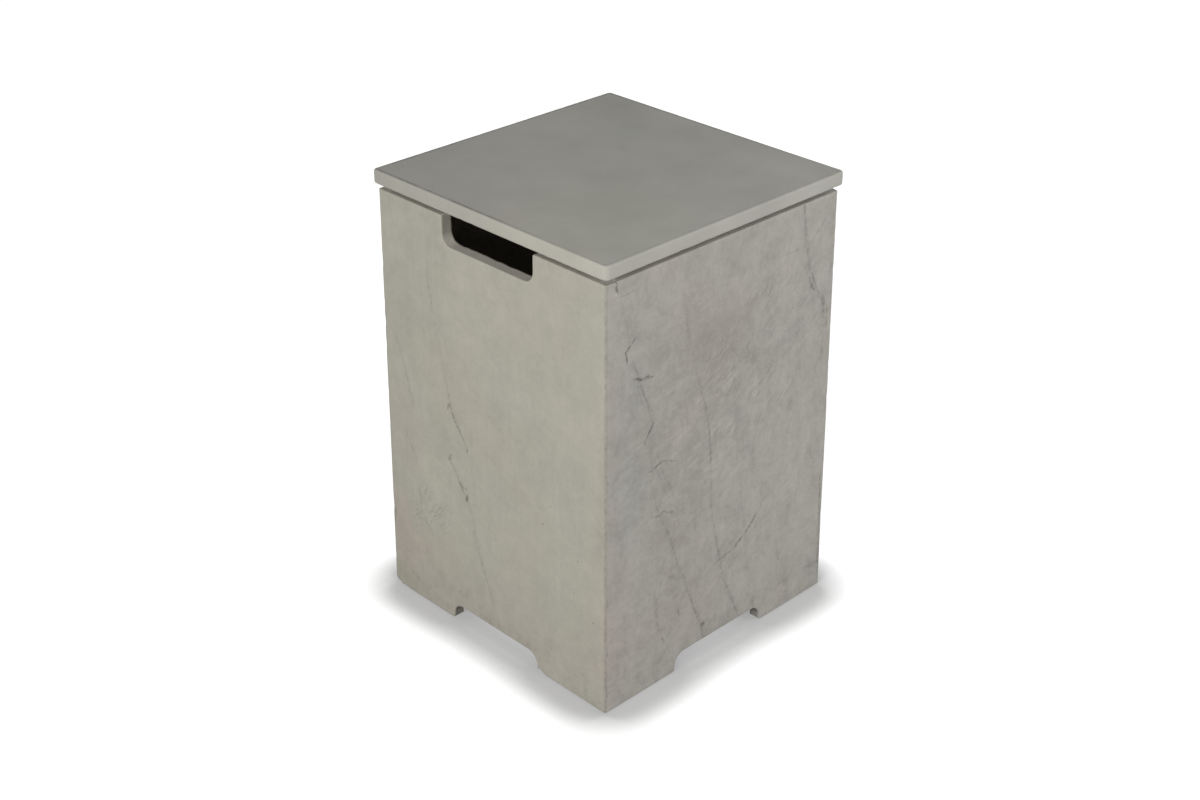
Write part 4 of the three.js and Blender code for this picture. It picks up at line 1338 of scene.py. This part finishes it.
def make_lid_cement():
    """Smoother grey cement: broad soft mottling, faint trowel streaks across the top, pinholes dark with
    painted shade, pale edges, a dark brim that runs along the top's edge, and painted light that brightens
    the top towards its right, with painted shade at the back."""
    material, tree, shader = principled("lid_cement")
    place = node(tree, "TexCoord").outputs["Object"]
    parts = node(tree, "SeparateXYZ", {0: place}).outputs
    edge = attribute(tree, "edge")
    mottle = node(tree, "Group", {"Place": place, **LID_COLOURS, "Depth": LID_MOTTLING,
                                 "Drift": LID_SLOW_DRIFT}, node_tree=MOTTLE).outputs
    colour = node(tree, "Group", {"Color": mottle["Color"], "Place": place, **LID_STAIN},
                  node_tree=STAIN).outputs[0]

    # Trowel streaks, and painted light: the brightness drifts across the top, with painted shade at the back
    stretched = node(tree, "Mapping", {"Vector": place, "Rotation": (0, 0, LID_STREAK_TURN),
                                       "Scale": LID_STREAK_STRETCH}).outputs[0]
    streaks = noise(tree, stretched, *LID_STREAK_NOISE)
    tone = scaled(tree, parts[0], -LID_HALF, LID_HALF, *LID_PAINTED_LIGHT_SPAN, soft=False)
    tone = maths(tree, "MULTIPLY_ADD", maths(tree, "SUBTRACT", streaks, 0.5), LID_STREAK_TONE, tone)
    tone = maths(tree, "ADD", tone, scaled(tree, parts[1], LID_BACK_SHADE_START, LID_HALF, 0.0, LID_PAINTED_BACK_SHADE))
    colour = vector(tree, "SCALE", colour, tone)

    # Pale worn edges, the dark brim, plainest on the left, and pinholes dark with painted shade
    worn = maths(tree, "MULTIPLY", edge, scaled(tree, noise(tree, place, *LID_WORN_NOISE), *LID_WORN_PART))
    colour = blend_colour(tree, maths(tree, "MULTIPLY", worn, LID_WORN_SHARE), colour, LID_WORN_COLOUR)
    rubbed = scaled(tree, noise(tree, place, *RUBBED_NOISE), *RUBBED_PART)
    leftward = scaled(tree, parts[0], *BRIM_FADE)
    brim = maths(tree, "MULTIPLY", attribute(tree, "brim"), maths(tree, "MULTIPLY", rubbed, leftward))
    colour = blend_colour(tree, maths(tree, "MULTIPLY", brim, BRIM_SHARE), colour, BRIM_COLOUR)
    hole_share = maths(tree, "MULTIPLY_ADD", edge, LID_HOLES_ON_EDGES, LID_HOLES_ELSEWHERE)
    holes = node(tree, "Group", {"Place": place, "Share": hole_share, **LID_HOLES},
                 node_tree=PINHOLES).outputs[0]
    colour = blend_colour(tree, maths(tree, "MULTIPLY", holes, LID_HOLE_SHARE), colour, LID_HOLE_SHADE_COLOUR)
    tree.links.new(colour, shader.inputs["Base Color"])
    roughness = maths(tree, "MULTIPLY_ADD", mottle["Value"], LID_ROUGHNESS_OF_TONE, LID_ROUGHNESS)
    tree.links.new(roughness, shader.inputs["Roughness"])
    shader.inputs["Specular IOR Level"].default_value = CEMENT_SPECULAR

    cast = maths(tree, "MULTIPLY", noise(tree, place, *LID_CAST_NOISE), LID_CAST_RELIEF)
    relief = maths(tree, "MULTIPLY_ADD", noise(tree, place, *LID_GRAIN_NOISE), LID_GRAIN_RELIEF, cast)
    relief = maths(tree, "MULTIPLY_ADD", streaks, LID_STREAK_RELIEF, relief)
    relief = maths(tree, "MULTIPLY_ADD", holes, LID_HOLE_RELIEF, relief)
    bump = node(tree, "Bump", {"Strength": LID_BUMP, "Distance": BUMP_DISTANCE, "Height": relief})
    tree.links.new(bump.outputs[0], shader.inputs["Normal"])
    return material


def make_rubber(name, dark, light, roughness, grain_scale):
    """Moulded rubber: a fine grain, and dust that lies unevenly on it."""
    material, tree, shader = principled(name)
    place = node(tree, "TexCoord").outputs["Object"]
    dust = scaled(tree, noise(tree, place, *DUST_NOISE), *DUSTY_PART)
    colour = blend_colour(tree, dust, dark, light)
    tree.links.new(colour, shader.inputs["Base Color"])
    dusty_roughness = maths(tree, "MULTIPLY_ADD", dust, DUST_ROUGHNESS, roughness)
    tree.links.new(dusty_roughness, shader.inputs["Roughness"])
    grain = noise(tree, place, grain_scale)
    bump = node(tree, "Bump", {"Strength": RUBBER_BUMP, "Distance": RUBBER_BUMP_DISTANCE, "Height": grain})
    tree.links.new(bump.outputs[0], shader.inputs["Normal"])
    return material


def finish_piece(piece, material, body, slot, *nodes):
    """Gives a piece its material and its body, and hides the model's nodes that it stands for. The slot is
    not used.
    """
    piece.data.materials.append(material)
    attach(piece, body)
    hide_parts(*nodes)


# The pieces
finish_piece(make_shell(), make_shell_cement(), "cover", "shell_cement", "shell")
finish_piece(make_lid(), make_lid_cement(), "lid", "lid_cement", "lid")

BLACK_RUBBER = make_rubber("black_rubber", dark=(0.018, 0.018, 0.018, 1), light=(0.07, 0.068, 0.062, 1),
                           roughness=0.6, grain_scale=900.0)
CLEAR_RUBBER = make_rubber("clear_rubber", dark=(0.34, 0.34, 0.32, 1), light=(0.42, 0.41, 0.38, 1),
                           roughness=0.35, grain_scale=600.0)
for number, corner_name in enumerate(CORNERS):
    foot_node = f"foot_pad_{corner_name}"
    bumper_node = f"rim_bumper_{corner_name}"
    locator_node = f"lid_locator_{corner_name}"
    foot_pad = make_round_pad(f"foot_disc_{corner_name}", foot_node, dome=0.0, groove=0.0)
    bumper = make_round_pad(f"bumper_dot_{corner_name}", bumper_node, dome=0.15 * MM, groove=0.1 * MM)
    locator = make_locator(f"corner_block_{corner_name}", locator_node, number)
    finish_piece(foot_pad, BLACK_RUBBER, "cover", "black_rubber", foot_node)
    finish_piece(bumper, CLEAR_RUBBER, "cover", "clear_rubber", bumper_node)
    finish_piece(locator, BLACK_RUBBER, "lid", "black_rubber", locator_node)


# Floor, light and camera
FLOOR_HALF = 4.0
WHITE = (1.0, 1.0, 1.0, 1)
AMBIENT = (0.36, 0.36, 0.36, 1)
LAMP_AIM = (0.0, 0.0, 0.42)
LAMP_SPREAD = math.radians(110)
LAMPS = {
    "key": {"place": (0.95, -2.40, 1.15), "size": (1.4, 0.4), "power": 17.1, "colour": (1.0, 0.98, 0.94)},
    "fill": {"place": (2.15, 1.50, 0.90), "size": (1.2, 0.4), "power": 9.3, "colour": (0.98, 0.98, 1.0)},
    "back": {"place": (-1.55, 1.50, 0.50), "size": (1.2, 0.3), "power": 7.0, "colour": (1.0, 1.0, 1.0)},
}
FLOOR_COLOUR = (0.45, 0.45, 0.45, 1)
SEEN_FLOOR_COLOUR = (0.25, 0.25, 0.25, 1)
FLOOR_ROUGHNESS = 0.9
FLOOR_GLOW = 0.93
CONTACT_REACH = 0.062
CONTACT_POWER = 3.4
CONTACT_LEAST = 0.35
FOCAL_PIXELS = 1819.15
IMAGE_WIDTH_PIXELS = 1200
SENSOR_WIDTH_MM = 36.0
CAMERA_PLACE = (1.4604, -1.4399, 1.3979)
CAMERA_PITCH_DOWN = math.radians(28.552)
CAMERA_TURN = math.radians(45.676)


def seen_directly(tree):
    """1 for a ray from the camera, or one that a mirror or glass sends on, and 0 for the light itself."""
    rays = node(tree, "LightPath").outputs
    through = maths(tree, "MAXIMUM", rays["Is Glossy Ray"], rays["Is Transmission Ray"])
    return maths(tree, "MAXIMUM", rays["Is Camera Ray"], through)


def make_floor():
    """A pale floor that reads white to the camera and keeps the object's shadow, darkest where they meet: its
    glow is dimmed by ambient occlusion, a painted contact shadow.
    """
    corners = np.array(((-1, -1, 0), (1, -1, 0), (1, 1, 0), (-1, 1, 0))) * FLOOR_HALF
    floor = new_piece("floor", corners, [(0, 1, 2, 3)], smooth=False)
    material, tree, shader = principled("floor_white")
    # Painted contact shadow: ambient occlusion dims the glow that makes the floor white
    contact = node(tree, "AmbientOcclusion", {"Distance": CONTACT_REACH}).outputs["AO"]
    shade = maths(tree, "MAXIMUM", maths(tree, "POWER", contact, CONTACT_POWER), CONTACT_LEAST)
    glow = maths(tree, "MULTIPLY", shade, FLOOR_GLOW)
    colour = blend_colour(tree, seen_directly(tree), FLOOR_COLOUR, SEEN_FLOOR_COLOUR)
    tree.links.new(colour, shader.inputs["Base Color"])
    shader.inputs["Roughness"].default_value = FLOOR_ROUGHNESS
    shader.inputs["Specular IOR Level"].default_value = 0.0
    shader.inputs["Emission Color"].default_value = WHITE
    tree.links.new(maths(tree, "MULTIPLY", seen_directly(tree), glow), shader.inputs["Emission Strength"])
    floor.data.materials.append(material)


def make_world():
    """Even grey light, with a background that camera, mirror and glass rays see as white."""
    world = bpy.data.worlds.new("studio")
    world.use_nodes = True
    tree = world.node_tree
    colour = blend_colour(tree, seen_directly(tree), AMBIENT, WHITE)
    tree.links.new(colour, tree.nodes["Background"].inputs["Color"])
    bpy.context.scene.world = world


def make_lamp(name, place, size, power, colour):
    """A wide soft panel lamp that faces the table and isn't itself in the picture."""
    lamp = bpy.data.lights.new(name, "AREA")
    lamp.shape = "RECTANGLE"
    lamp.size, lamp.size_y = size
    lamp.energy = power
    lamp.color = colour
    lamp.spread = LAMP_SPREAD
    panel = bpy.data.objects.new(name, lamp)
    panel.visible_camera = False
    panel.location = place
    ahead = np.array(LAMP_AIM) - np.array(place)
    ahead = ahead / np.linalg.norm(ahead)
    panel.rotation_euler = (math.acos(-ahead[2]), 0, math.atan2(-ahead[0], ahead[1]))
    bpy.context.scene.collection.objects.link(panel)


def make_camera():
    """The photograph's own view of the table."""
    lens = bpy.data.cameras.new("view")
    lens.sensor_width = SENSOR_WIDTH_MM
    lens.sensor_fit = "HORIZONTAL"
    lens.lens = FOCAL_PIXELS * SENSOR_WIDTH_MM / IMAGE_WIDTH_PIXELS
    camera = bpy.data.objects.new("view", lens)
    camera.location = CAMERA_PLACE
    camera.rotation_euler = (QUARTER - CAMERA_PITCH_DOWN, 0, CAMERA_TURN)
    bpy.context.scene.collection.objects.link(camera)
    bpy.context.scene.camera = camera


make_floor()
make_world()
for lamp_name, lamp_values in LAMPS.items():
    make_lamp(lamp_name, **lamp_values)
make_camera()
bpy.context.scene.view_settings.view_transform = "Standard"
